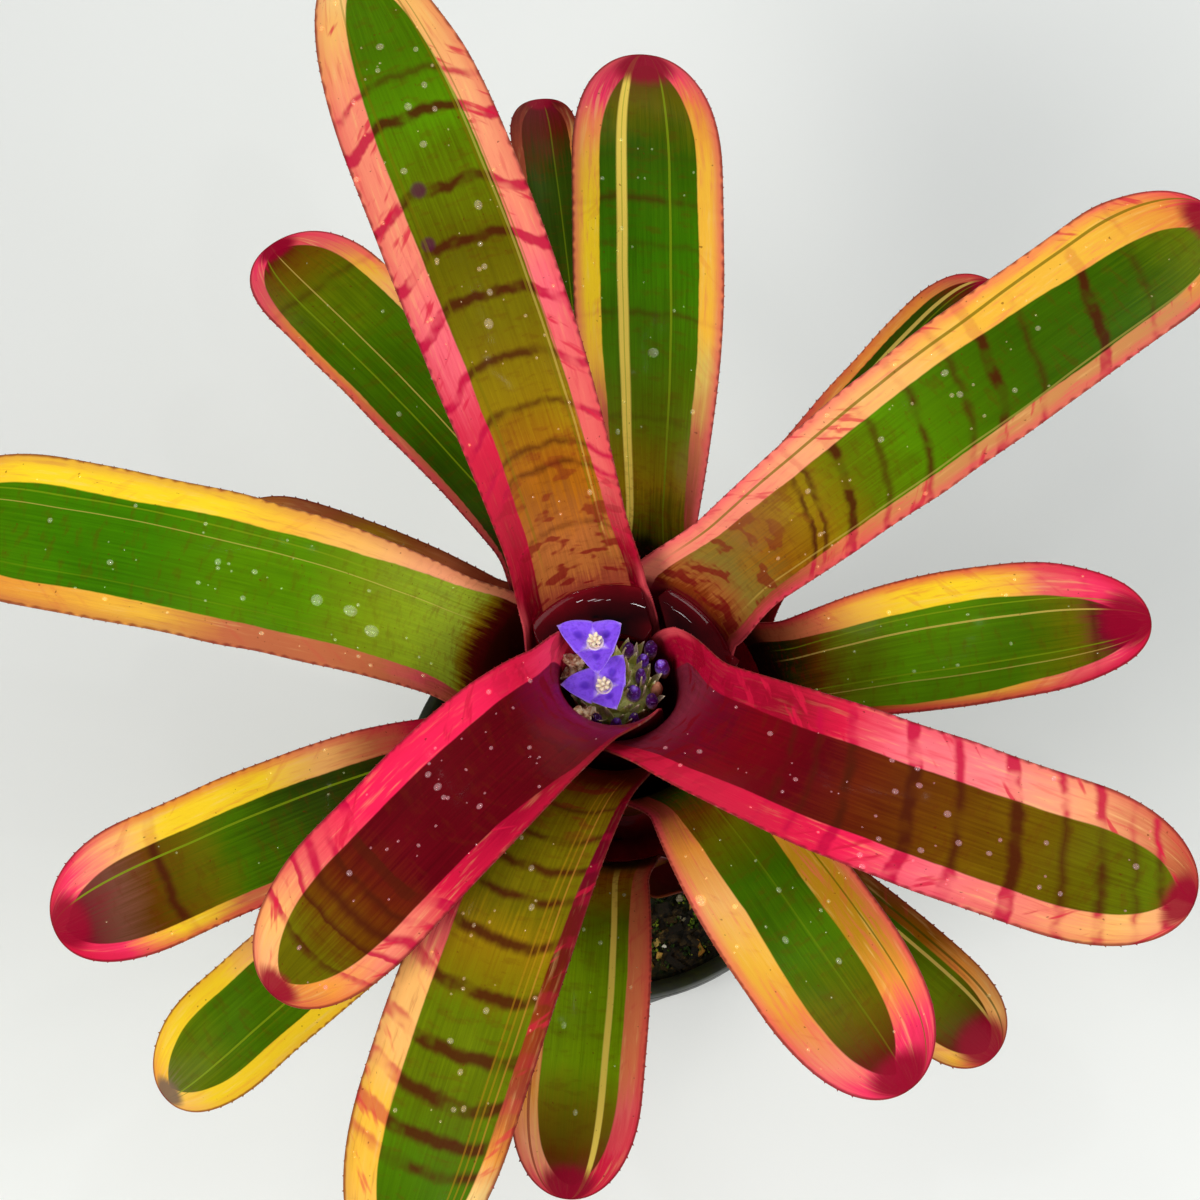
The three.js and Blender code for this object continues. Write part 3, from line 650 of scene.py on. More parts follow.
LOOKS = [
    dict(centre="0 fuchsia, .1 fuchsia, .25 wine, .5 wine, .66 wine, .75 umber, .83 brown, .9 olive, "
                "1 olive",
         left="0 wine, .2 wine, .35 carmine, .5 cerise, .65 crimson, .8 salmon, .93 orange, 1 clay",
         right="0 rose, .08 rose, .2 crimson, .35 scarlet, .65 scarlet, .8 coral, .92 peach, 1 shell",
         starts=("0 .9, .3 .86, .5 .66, 1 .6", "0 .5, .35 .55, 1 .6"), flush=("crimson", 0.35),
         blotch=1.0, apex=5, throat=("fuchsia", -0.2), husk="wine",
         bands=".69 .6, .71 .5, .745 .7, .79 .7, .835 .8, .86 .6, .89 .7", sag=0.02),
    dict(centre="0 dusk, .08 dusk, .16 maroon, .26 garnet, .4 wine, .5 umber, .64 brown, .74 bronze, "
                ".84 olive, .93 moss, 1 brown",
         left="0 cerise, .2 cerise, .34 carmine, .42 crimson, .52 pink, .66 blush, .8 shell, "
              ".92 clay, 1 rust",
         right="0 carmine, .2 crimson, .4 crimson, .52 scarlet, .66 pink, .8 salmon, .9 peach, 1 shell",
         starts=("0 .5, .8 .52, .93 .62, 1 .62", "0 .6, .3 .55, 1 .57"), flush=("crimson", 0.3),
         blotch=1.0, apex=7, throat=("dusk", -0.2), husk="wine",
         bands=".36 .5, .41 .5, .47 .8, .573 1, .645 .7, .73 1, .805 .6, .86 .7, .91 .5, .95 .6",
         sag=0.005, slant=0.045),
    dict(centre="0 rust, .04 tan, .12 tan, .2 amber, .24 amber, .34 ochre, .46 khaki, .56 olive, "
                ".66 moss, .76 grass, .86 green, 1 green",
         left="0 wine, .1 carmine, .3 crimson, .45 pink, .6 salmon, .8 salmon, .9 peach, 1 cream",
         right="0 wine, .08 carmine, .22 coral, .35 coral, .5 pink, .6 salmon, .75 shell, .9 peach, "
               "1 peach",
         starts=("0 .5, 1 .58", "0 .66, 1 .62"), flush=("crimson", 0.35), blotch=1.0, apex=7,
         throat=("maroon", -0.1), husk="maroon",
         lines=[(-0.55, 0.016, "khaki", 0.6), (-0.59, 0.014, "straw", 0.35),
                (-0.65, 0.01, "khaki", 0.5), (0.44, 0.02, "khaki", 0.4)],
         spots=[(0.66, 0.27, 2.0), (0.588, 0.4, 1.8)],
         bands=".13 .5, .235 .6, .27 .6, .333 .7, .408 .8, .499 1, .576 1, .654 1, .758 1, .814 .6",
         sag=0.035),
    dict(centre="0 umber, .08 umber, .18 bronze, .3 khaki, .42 khaki, .5 ochre, .62 moss, .72 moss, "
                ".85 green, 1 leaf",
         left="0 wine, .22 wine, .34 maroon, .5 umber, .62 sienna, .72 rust, .8 orange, .88 cream, "
              "1 peach",
         right="0 wine, .15 cerise, .32 wine, .46 cerise, .53 coral, .59 peach, .7 peach, .78 gold, "
               ".88 gold, 1 peach",
         starts=("0 .84, .3 .82, .5 .76, 1 .76", "0 .56, 1 .56"), flush=("maroon", 0.25), blotch=0.7,
         apex=7, quiet=0.4, throat=("maroon", -0.05), husk="maroon",
         lines=[(0.5, 0.012, "honey", 0.35), (0.58, 0.012, "honey", 0.35),
                (0.67, 0.011, "orange", 0.3)],
         bands=".195 .6, .28 .7, .35 .8, .41 .8, .489 .9, .58 1, .675 1, .744 1, .8 1, .845 .8",
         sag=0.02),
    dict(centre="0 sienna, .03 tan, .1 drab, .2 toffee, .3 ochre, .38 moss, .46 grass, .56 green, "
                ".66 leaf, .82 leaf, .94 moss, 1 moss",
         left="0 salmon, .2 salmon, .34 shell, .5 peach, .64 gold, .84 gold, .93 orange, 1 crimson",
         right="0 rust, .15 rust, .3 terra, .45 sand, .86 sand, .93 orange, 1 crimson",
         starts=("0 .5, .6 .5, .82 .37, 1 .35", "0 .72, 1 .68"), flush=("rose", 0.5), blotch=0.9,
         apex=9, calm=0.15, quiet=0.3, throat=("maroon", -0.02), husk="maroon",
         lines=[(0.76, 0.02, "khaki", 0.8), (-0.66, 0.014, "straw", 0.3)],
         bands=".28 .9, .298 .8, .354 1, .42 .6, .492 .7, .564 .6, .615 1, .68 .55, .78 1, .86 .5",
         sag=0.015, slant=-0.04),
    dict(centre="0 wine, .03 umber, .06 ochre, .1 pea, .2 sap, .3 lime, .42 grass, .52 grass, "
                ".66 emerald, .8 emerald, 1 green",
         left="0 rust, .08 rust, .16 lip, .26 clay, .52 clay, .64 gold, .88 orange, 1 salmon",
         right="0 salmon, .08 shell, .2 shell, .32 peach, .46 gold, .56 yellow, .86 yellow, 1 orange",
         starts=("0 .64, 1 .64", "0 .76, .2 .74, .45 .66, 1 .62"), flush=("clay", 0.5), blotch=0.15,
         apex=5, throat=("sepia", 0.03),
         lines=[(-0.54, 0.01, "lime", 0.6), (-0.38, 0.007, "straw", 0.4), (0.45, 0.01, "lime", 0.25)],
         bands=".80 .25, .90 .3"),
    dict(centre="0 dark, .08 forest, .2 brown, .3 olive, .45 leaf, .66 green, .8 olive, .9 umber, "
                "1 maroon",
         left="0 clay, .25 orange, .45 honey, .68 honey, .8 orange, .9 rose, 1 cerise",
         right="0 rust, .15 rust, .3 orange, .48 peach, .6 gold, .76 orange, .86 salmon, .94 rose, "
               "1 crimson",
         starts=("0 .75, .2 .7, .35 .5, .5 .44, 1 .4", "0 .52, .3 .46, .5 .42, .8 .5, 1 .6"),
         flush=("rose", 0.55), blotch=0.25, apex=9, throat=("dark", 0.05),
         lines=[(0.74, 0.01, "olive", 0.8), (0.1, 0.012, "lime", 0.25)],
         bands=".5 .3, .78 .3"),
    dict(centre="0 black, .06 dark, .12 olive, .2 ochre, .32 moss, .45 green, .62 emerald, .8 leaf, "
                ".9 olive, 1 umber",
         left="0 rust, .2 rust, .34 clay, .44 gold, .52 yellow, .7 yellow, .8 gold, .9 rose, 1 cerise",
         right="0 rust, .2 rust, .33 clay, .42 straw, .5 gold, .8 gold, .88 orange, .95 rose, 1 cerise",
         starts=("0 .64, 1 .64", "0 .66, 1 .66"), flush=("lip", 0.75), blotch=0.2, apex=10,
         lines=[(0.345, 0.068, "butter", 0.95), (0.345, 0.008, "lime", 0.5),
                (-0.29, 0.016, "lime", 0.8)],
         bands=".33 .4, .52 .5, .64 .4, .72 .6, .80 .3"),
    dict(centre="0 dark, .3 dark, .5 forest, .64 green, .72 olive, .8 brown, .88 rosewood, "
                ".95 maroon, 1 wine",
         left="0 clay, .3 clay, .5 clay, .66 clay, .78 yellow, .88 rose, 1 crimson",
         right="0 crimson, .2 crimson, .32 clay, .44 peach, .54 yellow, .74 yellow, .82 peach, "
               ".88 salmon, .93 rose, 1 crimson",
         starts=("0 .70, 1 .70", "0 .54, 1 .54"), flush=("crimson", 0.6), blotch=0.3, apex=9,
         lines=[(-0.34, 0.016, "lime", 0.8)],
         bands=".55 .3, .78 .8"),
    dict(centre="0 black, .1 dark, .2 brown, .3 moss, .45 grass, .7 green, .84 olive, .9 maroon, "
                "1 cerise",
         left="0 rust, .14 clay, .24 terra, .36 gold, .46 yellow, .62 yellow, .7 gold, .78 coral, "
              ".88 rose, 1 crimson",
         right="0 wine, .2 cerise, .32 umber, .38 amber, .5 orange, .62 gold, .72 orange, .82 coral, "
               ".9 rose, 1 crimson",
         starts=("0 .54, 1 .54", "0 .74, .25 .8, .45 .86, .6 .82, .75 .76, 1 .74"),
         flush=("crimson", 0.75), blotch=0.3, apex=13,
         lines=[(0.26, 0.014, "straw", 0.6), (0.45, 0.01, "lime", 0.7), (-0.38, 0.012, "lime", 0.6),
                (-0.5, 0.01, "straw", 0.35)],
         bands=".87 .5"),
    dict(centre="0 dark, .25 forest, .5 leaf, .7 green, .84 moss, .93 bronze, .97 umber, 1 cerise",
         left="0 rust, .3 clay, .5 clay, .65 orange, .8 orange, .9 coral, 1 rose",
         right="0 rust, .3 honey, .5 honey, .64 clay, .74 peach, .84 gold, .92 coral, 1 crimson",
         starts=("0 .84, .8 .82, 1 .7", "0 .68, 1 .66"), flush=("rose", 0.5), blotch=0.3, apex=5,
         lines=[(0.12, 0.012, "straw", 0.5), (0.42, 0.014, "lime", 0.7)],
         bands=".45 .3, .86 .5"),
    dict(centre="0 bronze, .1 amber, .2 ochre, .3 moss, .45 spring, .7 spring, .8 khaki, .9 brown, "
                "1 maroon",
         left="0 rust, .12 clay, .26 terra, .7 terra, .8 coral, .9 crimson, 1 crimson",
         right="0 brown, .25 umber, .42 rust, .56 clay, .66 terra, .78 orange, .9 shell, 1 rose",
         starts=("0 .62, 1 .62", "0 .6, 1 .58"), flush=("crimson", 0.5), blotch=0.3, apex=8,
         lines=[(0.375, 0.05, "butter", 0.9), (-0.73, 0.022, "rust", 0.85),
                (-0.62, 0.02, "peach", 0.5)],
         bands=".62 .3"),
    dict(centre="0 dark, .3 dark, .6 forest, .85 forest, .93 umber, 1 maroon",
         left="0 rust, .3 rust, .5 clay, .66 orange, .85 orange, .93 clay, 1 crimson",
         right="0 umber, .4 brown, .5 moss, .6 leaf, .8 moss, .92 olive, 1 rust",
         starts=("0 .77, 1 .77", "0 .6, 1 .6"), flush=("crimson", 0.4), blotch=0.2, apex=7,
         lines=[(0.6, 0.035, "straw", 0.75), (0.48, 0.012, "lime", 0.4)]),
    dict(centre="0 dark, .3 forest, .7 leaf, .9 olive, 1 umber",
         left="0 rust, .3 rust, .6 clay, .85 clay, 1 rose",
         right="0 rust, .18 rust, .3 clay, .42 tan, .56 honey, .68 tan, .8 clay, .92 orange, 1 rose",
         starts=("0 .6, 1 .6", "0 .55, 1 .55"), flush=("rust", 0.4), blotch=0.2, apex=8,
         lines=[(0.1, 0.014, "lime", 0.6)]),
    dict(centre="0 dark, .25 forest, .55 leaf, .8 moss, .9 umber, 1 maroon",
         left="0 clay, .3 brown, .52 brown, .68 toffee, .8 orange, .92 peach, 1 cerise",
         right="0 olive, .35 olive, .5 forest, .65 moss, .78 coral, .86 peach, .93 gold, 1 crimson",
         starts=("0 .62, 1 .62", "0 .66, 1 .66"), flush=("rust", 0.4), blotch=0.25, apex=11,
         throat=("black", 0.12),
         lines=[(0.5, 0.03, "straw", 0.8), (0.75, 0.02, "forest", 0.7)]),
    dict(centre="0 black, .3 dark, .6 forest, .84 forest, .92 umber, 1 maroon",
         left="0 rust, .4 rust, .7 clay, .9 rust, 1 wine",
         right="0 black, .15 umber, .25 straw, .5 straw, .7 gold, .84 orange, .93 rust, 1 wine",
         starts=("0 .66, 1 .66", "0 .7, 1 .7"), flush=("wine", 0.4), blotch=0.3, apex=4,
         throat=("black", 0.12),
         lines=[(-0.2, 0.02, "lime", 0.4)]),
    dict(centre="0 dark, .25 leaf, .5 green, .8 green, .93 moss, 1 grey",
         left="0 clay, .35 gold, .6 yellow, .9 yellow, 1 peach",
         right="0 wine, .25 wine, .38 umber, .52 brown, .62 shell, .75 yellow, .92 yellow, 1 orange",
         starts=("0 .6, 1 .6", "0 .66, 1 .66"), flush=("orange", 0.3), blotch=0.05, apex=4,
         spot="grey", throat=("black", 0.12),
         lines=[(0.22, 0.018, "lime", 0.9), (0.34, 0.012, "moss", 0.6)]),
]
# The backs of the sheaths from foot to lip; their darker maroon and wine towards the lip are partly the
# sheaths' colour and partly painted shade.
HUSKS = dict(wine="0 umber, .3 maroon, .45 carmine, .52 maroon",
             maroon="0 clay, .25 umber, .45 wine, .52 maroon",
             umber="0 clay, .22 brown, .42 umber, .52 umber")
BAND_REACH = 2.6


def blade_stops(text):
    """Stops given along the blade, 0 to 1, moved to a ramp that also covers the sheath, -1 to 0."""
    return [(0.5 + place / 2, colour) for place, colour in stops(text)]


def value_stops(text):
    """The same for plain values instead of colours."""
    pairs = [item.split() for item in text.split(",")]
    return [(0.5 + float(place) / 2, float(value)) for place, value in pairs]


def band_marks(text, reach):
    """The bands as a ramp: a peak of the strength of each, reach to either side."""
    marks = [(0.0, 0.0)]
    for item in text.split(","):
        at, strength = map(float, item.split())
        marks += [(at - reach, 0.0), (at, strength), (at + reach, 0.0)]
    return marks


class Skin(Net):
    """The finish of one leaf: each step draws one thing on the colours that it is given.

    Places are in mm: `run` from the lip towards the tip, and `offset` from the midline to the left.
    """

    def __init__(self, leaf, look):
        super().__init__(leaf.name + "_finish")
        self.leaf = leaf
        self.look = look
        self.half = leaf.wide / 2
        self.along, self.across, self.rim, self.under = self.attributes("along across rim under")
        self.run = self.along * leaf.length
        self.offset = self.across * self.half
        self.left = self.across.span(-0.08, 0.08)
        self.whole = self.along * 0.5 + 0.5
        self.vein = self.grain(1, 0.03, 0, 1.5, 4)
        self.broad = self.grain(1, 1, 0, 0.07, 2, 0.5)

    def seed(self, pattern=0):
        return self.leaf.rank * 3.7 + pattern

    def grain(self, aside, ahead, pattern, scale=1.0, detail=3, roughness=0.6):
        """Noise over the blade, finer for larger factors; each pattern number has noise of its own."""
        place = self.vector(self.offset * aside, self.run * ahead, self.seed(pattern))
        return self.noise(place, scale, detail, roughness)

    def zones(self):
        """The colours of the centre and of the margins, pulled about and streaked by the veins."""
        place = (self.along + self.vein.sway(0.10) + self.broad.sway(0.10)) * 0.5 + 0.5
        centre, left, right = [self.ramp(place, blade_stops(self.look[key]))
                               for key in ("centre", "left", "right")]
        for value, low, high in ((self.vein, 0.80, 1.16), (self.broad, 0.86, 1.08)):
            shade = value.span(0.3, 0.7, low, high, False)
            centre = self.mix(1.0, centre, self.vector(shade, shade, shade), "MULTIPLY")
        centre = self.tint(centre, self.grain(0.2, 0.5, 11).span(0.5, 0.7, 0.0, 0.25), "umber")
        colour, strength = self.look["flush"]
        pale = self.grain(1, 0.10, 5, 0.8)
        faint = pale.span(0.52, 0.75, 0.0, 0.35) * self.along.span(0.25, 0.65, 0.12, 1.0)
        margin = self.tint(self.mix(self.left, right, left), faint, "cream")
        margin = self.tint(margin, pale.span(0.48, 0.28, 0.0, 0.35), colour)
        return centre, self.tint(margin, self.rim.span(0.80, 0.97) * strength, colour)

    def bands(self, centre, margin):
        """Bands across the centre, carried on over the margins as brighter bars."""
        look = self.look
        level = self.along + self.rim.span(0.4, 1.0, 0.0, look["sag"]) + self.across * look["slant"]
        level = level + self.grain(0.16, 0.10, 9).sway(0.022)
        peak = self.ramp(level, band_marks(look["bands"], BAND_REACH / self.leaf.length))
        torn = self.grain(0.13, 0.12, 2, 1.0, 2, 0.5)
        band = peak.span(0.12, 0.8) * torn.span(0.32, 0.5, 0.35, 1.0)
        bar = peak.span(0.2, 0.6) * torn.span(0.38, 0.54, 0.2, 1.0)
        bar = bar * self.left.span(0.0, 1.0, 1.0, look["quiet"])
        centre = self.tint(centre, band * 0.92, "sepia")
        return centre, self.tint(margin, bar * (0.9 * look["blotch"]), "ruby")

    def spots(self, centre):
        for at, aside, radius in self.look["spots"]:
            ahead = (self.run - at * self.leaf.length) * (1 / radius)
            beside = (self.offset - aside * self.half) * (1 / radius)
            centre = self.tint(centre, (ahead ** 2 + beside ** 2).span(1.6, 0.3, 0.0, 0.8), "purple")
        return centre

    def slashes(self, margin):
        """Short slanting slashes on the margins."""
        slant = self.run + abs(self.offset) * 0.9
        place = self.vector(slant * 0.26, self.offset * 0.10, self.seed(7))
        slash = self.noise(place, 1.0, 2.5, 0.6).span(0.58, 0.68) * self.along.span(0.02, 0.3)
        return self.tint(margin, slash * (0.8 * self.look["blotch"]), "crimson")

    def margin_zone(self):
        """0 on the centre and 1 on the margins, with a slightly wandering border."""
        left, right = [self.ramp(self.whole, value_stops(text)) for text in self.look["starts"]]
        wander = self.noise(self.vector(self.run, self.left, self.seed()), 0.05, 2).sway(0.07)
        border = self.blend(self.left, right, left) + self.along.span(0.0, 0.35, 0.09, 0.0) + wander
        return (self.rim - border).span(-0.012, 0.012)

    def lines(self, colour):
        for at, width, name, strength in self.look["lines"]:
            wander = self.noise(self.vector(self.run, at, self.seed()), 0.03, 1).sway(0.05)
            line = abs(self.across + wander - at).span(width * 1.25, width * 0.75, 0.0, strength)
            colour = self.tint(colour, line * self.along.span(0.03, 0.14), name)
        return colour

    def specks(self, colour, zone):
        """Specks of dark red towards the foot, and small brown flecks anywhere."""
        look = self.look
        wide = 0.12 if look["blotch"] > 0.4 else 0.42
        speck = self.grain(wide, wide * 1.7, 3, 1.0, 2, 0.55).span(0.54, 0.62)
        low = self.along.span(0.40, 0.05, 0.0, 0.8 * min(1.0, look["blotch"] + 0.15))
        low = low * zone.span(0.0, 1.0, 1.0, look["calm"])
        colour = self.tint(colour, speck * low, "garnet")
        return self.tint(colour, self.grain(1, 1, 4, 0.9, 1, 0.5).span(0.74, 0.80, 0.0, 0.6), "umber")

    def edges(self, colour):
        """The dark spot at the tip and the line along the edge."""
        to_tip = (self.along * -1.0 + 1.0) * (self.leaf.length / self.look["apex"])
        near = to_tip ** 2 + (self.across * 1.6) ** 2 * 0.5 + self.vein.sway(0.5)
        colour = self.tint(colour, near.span(1.15, 0.45, 0.0, 0.95), self.look["spot"])
        line = self.rim.span(0.945, 0.98) * self.along.span(-0.1, 0.1)
        return self.tint(colour, line * 0.75, "edging")

    def cup(self, colour):
        """Painted shade down the wall of the cup into the sheath, over the wall's own red on the inner
        leaves, going near black lower down; and the pale edge of the sheath.
        """
        name, start = self.look["throat"]
        # deep is where the painted shade goes over to near black, wall is where the painted shade of the
        # throat starts.
        deep = (self.along + self.vein * 0.2).span(start - 0.1, start - 0.6)
        wall = (self.along + self.broad.sway(0.10)).span(start, start - 0.09)
        colour = self.mix(wall * 0.92, colour, self.mix(deep, linear(name), linear("deep")))
        edge = self.rim.span(0.86, 0.95) * self.along.span(0.06, 0.0) * self.vein.span(0.3, 0.6, 0.5, 0.95)
        return self.tint(colour, edge, "lip" if self.leaf.rank < 8 else "umber")

    def back(self, colour, scurf):
        """The underside: duller, with pale scurf across, and the husk of the sheath."""
        dull = self.tint(colour, 0.35, "dull")
        dull = self.tint(dull, scurf.span(0.5, 0.7, 0.0, 0.35), "scurf")
        husk = self.ramp(self.whole, stops(HUSKS[self.look["husk"]]))
        husk = self.tint(husk, self.grain(0.3, 0.2, 8).span(0.5, 0.62, 0.0, 0.7), "plum")
        return self.mix(self.under, colour, self.mix(self.along.span(0.10, -0.05), dull, husk))

    def draw(self):
        centre, margin = self.zones()
        if self.look["bands"]:
            centre, margin = self.bands(centre, margin)
        zone = self.margin_zone()
        colour = self.mix(zone, self.spots(centre), self.slashes(margin))
        colour = self.specks(self.lines(colour), zone)
        scurf = self.grain(0.08, 0.55, 6, 1.0, 4, 0.65)
        colour = self.back(self.cup(self.edges(colour)), scurf)
        height = self.vein * 0.7 + self.grain(1, 0.03, 0, 5.0, 2, 0.5) * 0.3
        height = height + scurf.span(0.4, 0.7) * (self.under * 0.5)
        rough = self.broad.span(0.3, 0.7, 0.30, 0.42, False) + self.under * 0.18
        return self.finish(Base_Color=colour, Roughness=rough, Specular_IOR_Level=0.05,
                           Specular_Tint=(1.0, 0.93, 0.55, 1.0), Coat_Weight=0.015, Coat_Roughness=0.10,
                           Normal=self.bump(height, 0.35, 0.00025))


# ------------------------------------------------------------------------------------- flower head

HEAD_RADIUS = 10.5
HEAD_LEVEL = 187.0
SCAPE_FOOT = 122.0
BRACTS = 84
BRACT_THICK = 0.8
BRACT_CURL = 1.2
GOLDEN_ANGLE = 137.5
# Nearer than this to an open flower, a bract stays short.
CROWDED = 3.4
# The place of each bud's tip, and its tone from dark to light, or 2 for one that has gone brown.
BUDS = [(3.7, 8.6, 199), (9.2, 9.2, 198), (11.6, 3.7, 199), (6.5, 1, 201), (9.2, -5.3, 199),
        (0.5, -11.2, 198), (-4.8, -9.6, 197), (4.8, -3.4, 199.5), (4.9, -9.4, 197), (7.4, 5.4, 199),
        (10.9, -1.5, 197.5)]
BUD_TONES = [.4, .1, .95, .5, .3, .6, .2, .7, .45, .8, 2.0]
BUD_SIZES = (0.8, 0.9, 1.0, 0.75, 0.85)
BUD_LENGTH = 13
# The faded flowers: x, y, height, heading in degrees and size.
FADED = [(-9.6, 2.4, 198.5, 60, 1.0), (-7.4, -8.6, 197.5, 200, 0.8)]
# The open flowers: place and height, heading, tilt and where it leans in degrees, length of each petal.
FLOWERS = [dict(x=-5.0, y=6.0, top=208.0, turn=35, tilt=5, lean=130, long=(0.84, 1.1, 0.95)),
           dict(x=-2.8, y=-3.9, top=203.0, turn=57, tilt=8, lean=200, long=(0.95, 1.15, 0.75))]
PETAL_LENGTH = 9.2
PETAL_SPREAD = 9.8
# The outline of a flower's tube as (radius, height), hollow at the top.
TUBE = [(0, -18), (1.2, -18), (1.45, -17), (1.5, -4), (1.7, -2.2), (2.1, -1.0), (2.2, -0.5), (1.9, -0.4),
        (1.3, -1.4), (0.9, -3.0), (0, -3.4)]


def petal_grid(t, v):
    """The upper face of a petal lying along +X: t from its foot to its point, v across it."""
    half = PETAL_SPREAD * (t + 0.06) ** 0.4 * (1 - t) ** 1.05
    half = np.maximum(half * (1 + 0.05 * np.sin(9 * t)), 0.12)
    x = 0.4 + t * PETAL_LENGTH
    half = np.minimum(half, 1.7 * x + 0.4)
    belly = np.sin(pi * t)
    z = -1.4 + 2.2 * np.sin(1.5 * t) + 0.55 * v * v * belly - 0.35 * np.exp(-(v / 0.16) ** 2) * belly
    z = z + 0.22 * np.sin(7 * t + 2 * v) * np.abs(v) ** 2 * t - 0.5 * np.clip(t - 0.85, 0, 1) / 0.15
    return np.stack([x, v * half, z], -1)


def lean_over(points, flower):
    """Points of an upright flower, tilted above its tube and moved to its place."""
    lean = radians(flower["lean"])
    share = np.clip((points[:, 2] + 5) / 4, 0, 1)
    points = turn_about(points, (-sin(lean), cos(lean), 0), radians(flower["tilt"]) * share)
    return points + np.array((flower["x"], flower["y"], flower["top"]))


def build_flower(number, flower, material):
    """A tube with three petals, kind 0, six stamens round a style, kind 0.6, and their heads, kind 1."""
    heap = Heap("along", "edge", "kind")
    tube, faces = rings(TUBE, 24)
    tube = np.array(tube)
    heap.add(lean_over(tube, flower), faces, along=(tube[:, 2] + 18) / 18 * 0.1, kind=0.0)
    t, v = grid(26, 15)
    for i in range(3):
        upper = petal_grid(t, v)
        lower = upper - np.array((0, 0, 1)) * (0.45 - 0.25 * np.abs(v) ** 2)[..., None]
        points, faces = slab(upper, lower)
        turn = radians(flower["turn"] + 120 * i)
        rotation = np.array(Matrix.Rotation(turn, 3, "Z"))
        points = points * (flower["long"][i], 1, 1) @ rotation.T
        heap.add(lean_over(points, flower), faces, along=both(t), edge=both(np.abs(v)), kind=0.0)
    points, faces = ball(8)
    for i in range(7):
        angle = i * pi / 3 + 0.3
        stamen = i < 6
        reach = 0.95 if stamen else 0.0
        foot = np.array((reach * cos(angle), reach * sin(angle), -2.6))
        head = foot * (1.25, 1.25, 0) + np.array((0, 0, 1.15 if stamen else 1.7))
        direction = head - foot
        rod = points * (0.2, 0.2, np.linalg.norm(direction) / 2) @ frame_at(direction).T + (foot + head) / 2
        heap.add(lean_over(rod, flower), faces, kind=0.6)
        size = (0.5, 0.38, 0.95) if stamen else (0.55, 0.55, 0.6)
        outward = (cos(angle), sin(angle), 0.9) if stamen else (0, 0, 1)
        anther = points * size @ frame_at(outward).T + head
        heap.add(lean_over(anther, flower), faces, kind=1.0)
    return heap.piece("flower_%d_bloom" % number, material, "petals", ("flower_%d" % number,))


def bract_shape(length, width):
    """A pointed bract standing on its foot, hollow towards the axis it leans over."""
    t, v = grid(12, 7)
    half = np.maximum(width / 2 * np.sin(pi * (0.22 + 0.78 * t) ** 0.85) ** 0.85, 0.08)
    x = BRACT_CURL * (1 - t) ** 2 * 0.6 - BRACT_CURL * t * t * 0.5 - 0.45 * half * v * v
    x = x + 0.12 * np.cos(5 * v) * t
    outer = np.stack([x, v * half, t * length], -1)
    thick = BRACT_THICK * (1 - 0.6 * np.abs(v)) * (1 - 0.7 * t)
    points, faces = slab(outer - np.array((1.0, 0, 0)) * thick[..., None], outer)
    return points, faces, both(t), both(np.abs(v))


def spin(points, tilt, azimuth, place):
    """Points tilted away from the axis, turned to an azimuth and moved to a place."""
    matrix = Matrix.Rotation(azimuth, 3, "Z") @ Matrix.Rotation(tilt, 3, "Y")
    return points @ np.array(matrix).T + np.array(place)


def near_flower(x, y):
    """The distance to the nearest open flower."""
    return min(hypot(x - f["x"], y - f["y"]) for f in FLOWERS)


def add_bracts(heap, dice):
    """Bracts set in a spiral, shorter where they stand under a flower."""
    for i in range(BRACTS):
        share = (i + 0.5) / BRACTS
        radius = (HEAD_RADIUS - 1) * share ** 0.5
        angle = radians(GOLDEN_ANGLE * i)
        x, y = radius * cos(angle), radius * sin(angle)
        crowded = near_flower(x, y) < CROWDED
        length = dice.uniform(6, 7) if crowded else dice.uniform(9.5, 13)
        width = 2.6 if crowded else dice.uniform(2.3, 3.7)
        points, faces, t, edge = bract_shape(length, width)
        tilt = radians(3 + 14 * share + dice.uniform(-4, 9))
        azimuth = angle + dice.uniform(-0.5, 0.5)
        points = spin(points, tilt, azimuth, (x, y, HEAD_LEVEL + 2 - 5 * share))
        heap.add(points, faces, along=t, edge=edge, kind=0.0, tone=dice.uniform(0, 1))


def add_buds(heap, dice):
    """Closed buds: rolled petals, twisted to a point."""
    columns, steps = 18, 16
    a = around(columns)
    t = np.linspace(0, 1, steps)
    for i, place in enumerate(BUDS):
        size = BUD_SIZES[i % len(BUD_SIZES)]
        swell = 1.95 * size * np.sin(pi * (0.12 + 0.88 * t) ** 1.5) ** 0.55
        loops = []
        for level, r in zip(t[1:-1], swell[1:-1]):
            groove = 1 - 0.13 * np.abs(np.sin(1.5 * (a + 3.5 * level))) ** 3 * level
            height = np.full(columns, BUD_LENGTH * (level - 1))
            loops.append(np.stack([r * groove * np.cos(a), r * groove * np.sin(a), height], -1))
        points = np.concatenate(loops + [[(0, 0, -BUD_LENGTH)], [(0, 0, 0)]])
        lean = spin(points, radians(dice.uniform(-6, 6)), dice.uniform(0, 6), place)
        heap.add(lean, spindle_faces(steps - 2, columns), along=1 + points[:, 2] / BUD_LENGTH, kind=1.0,
                 tone=BUD_TONES[i])


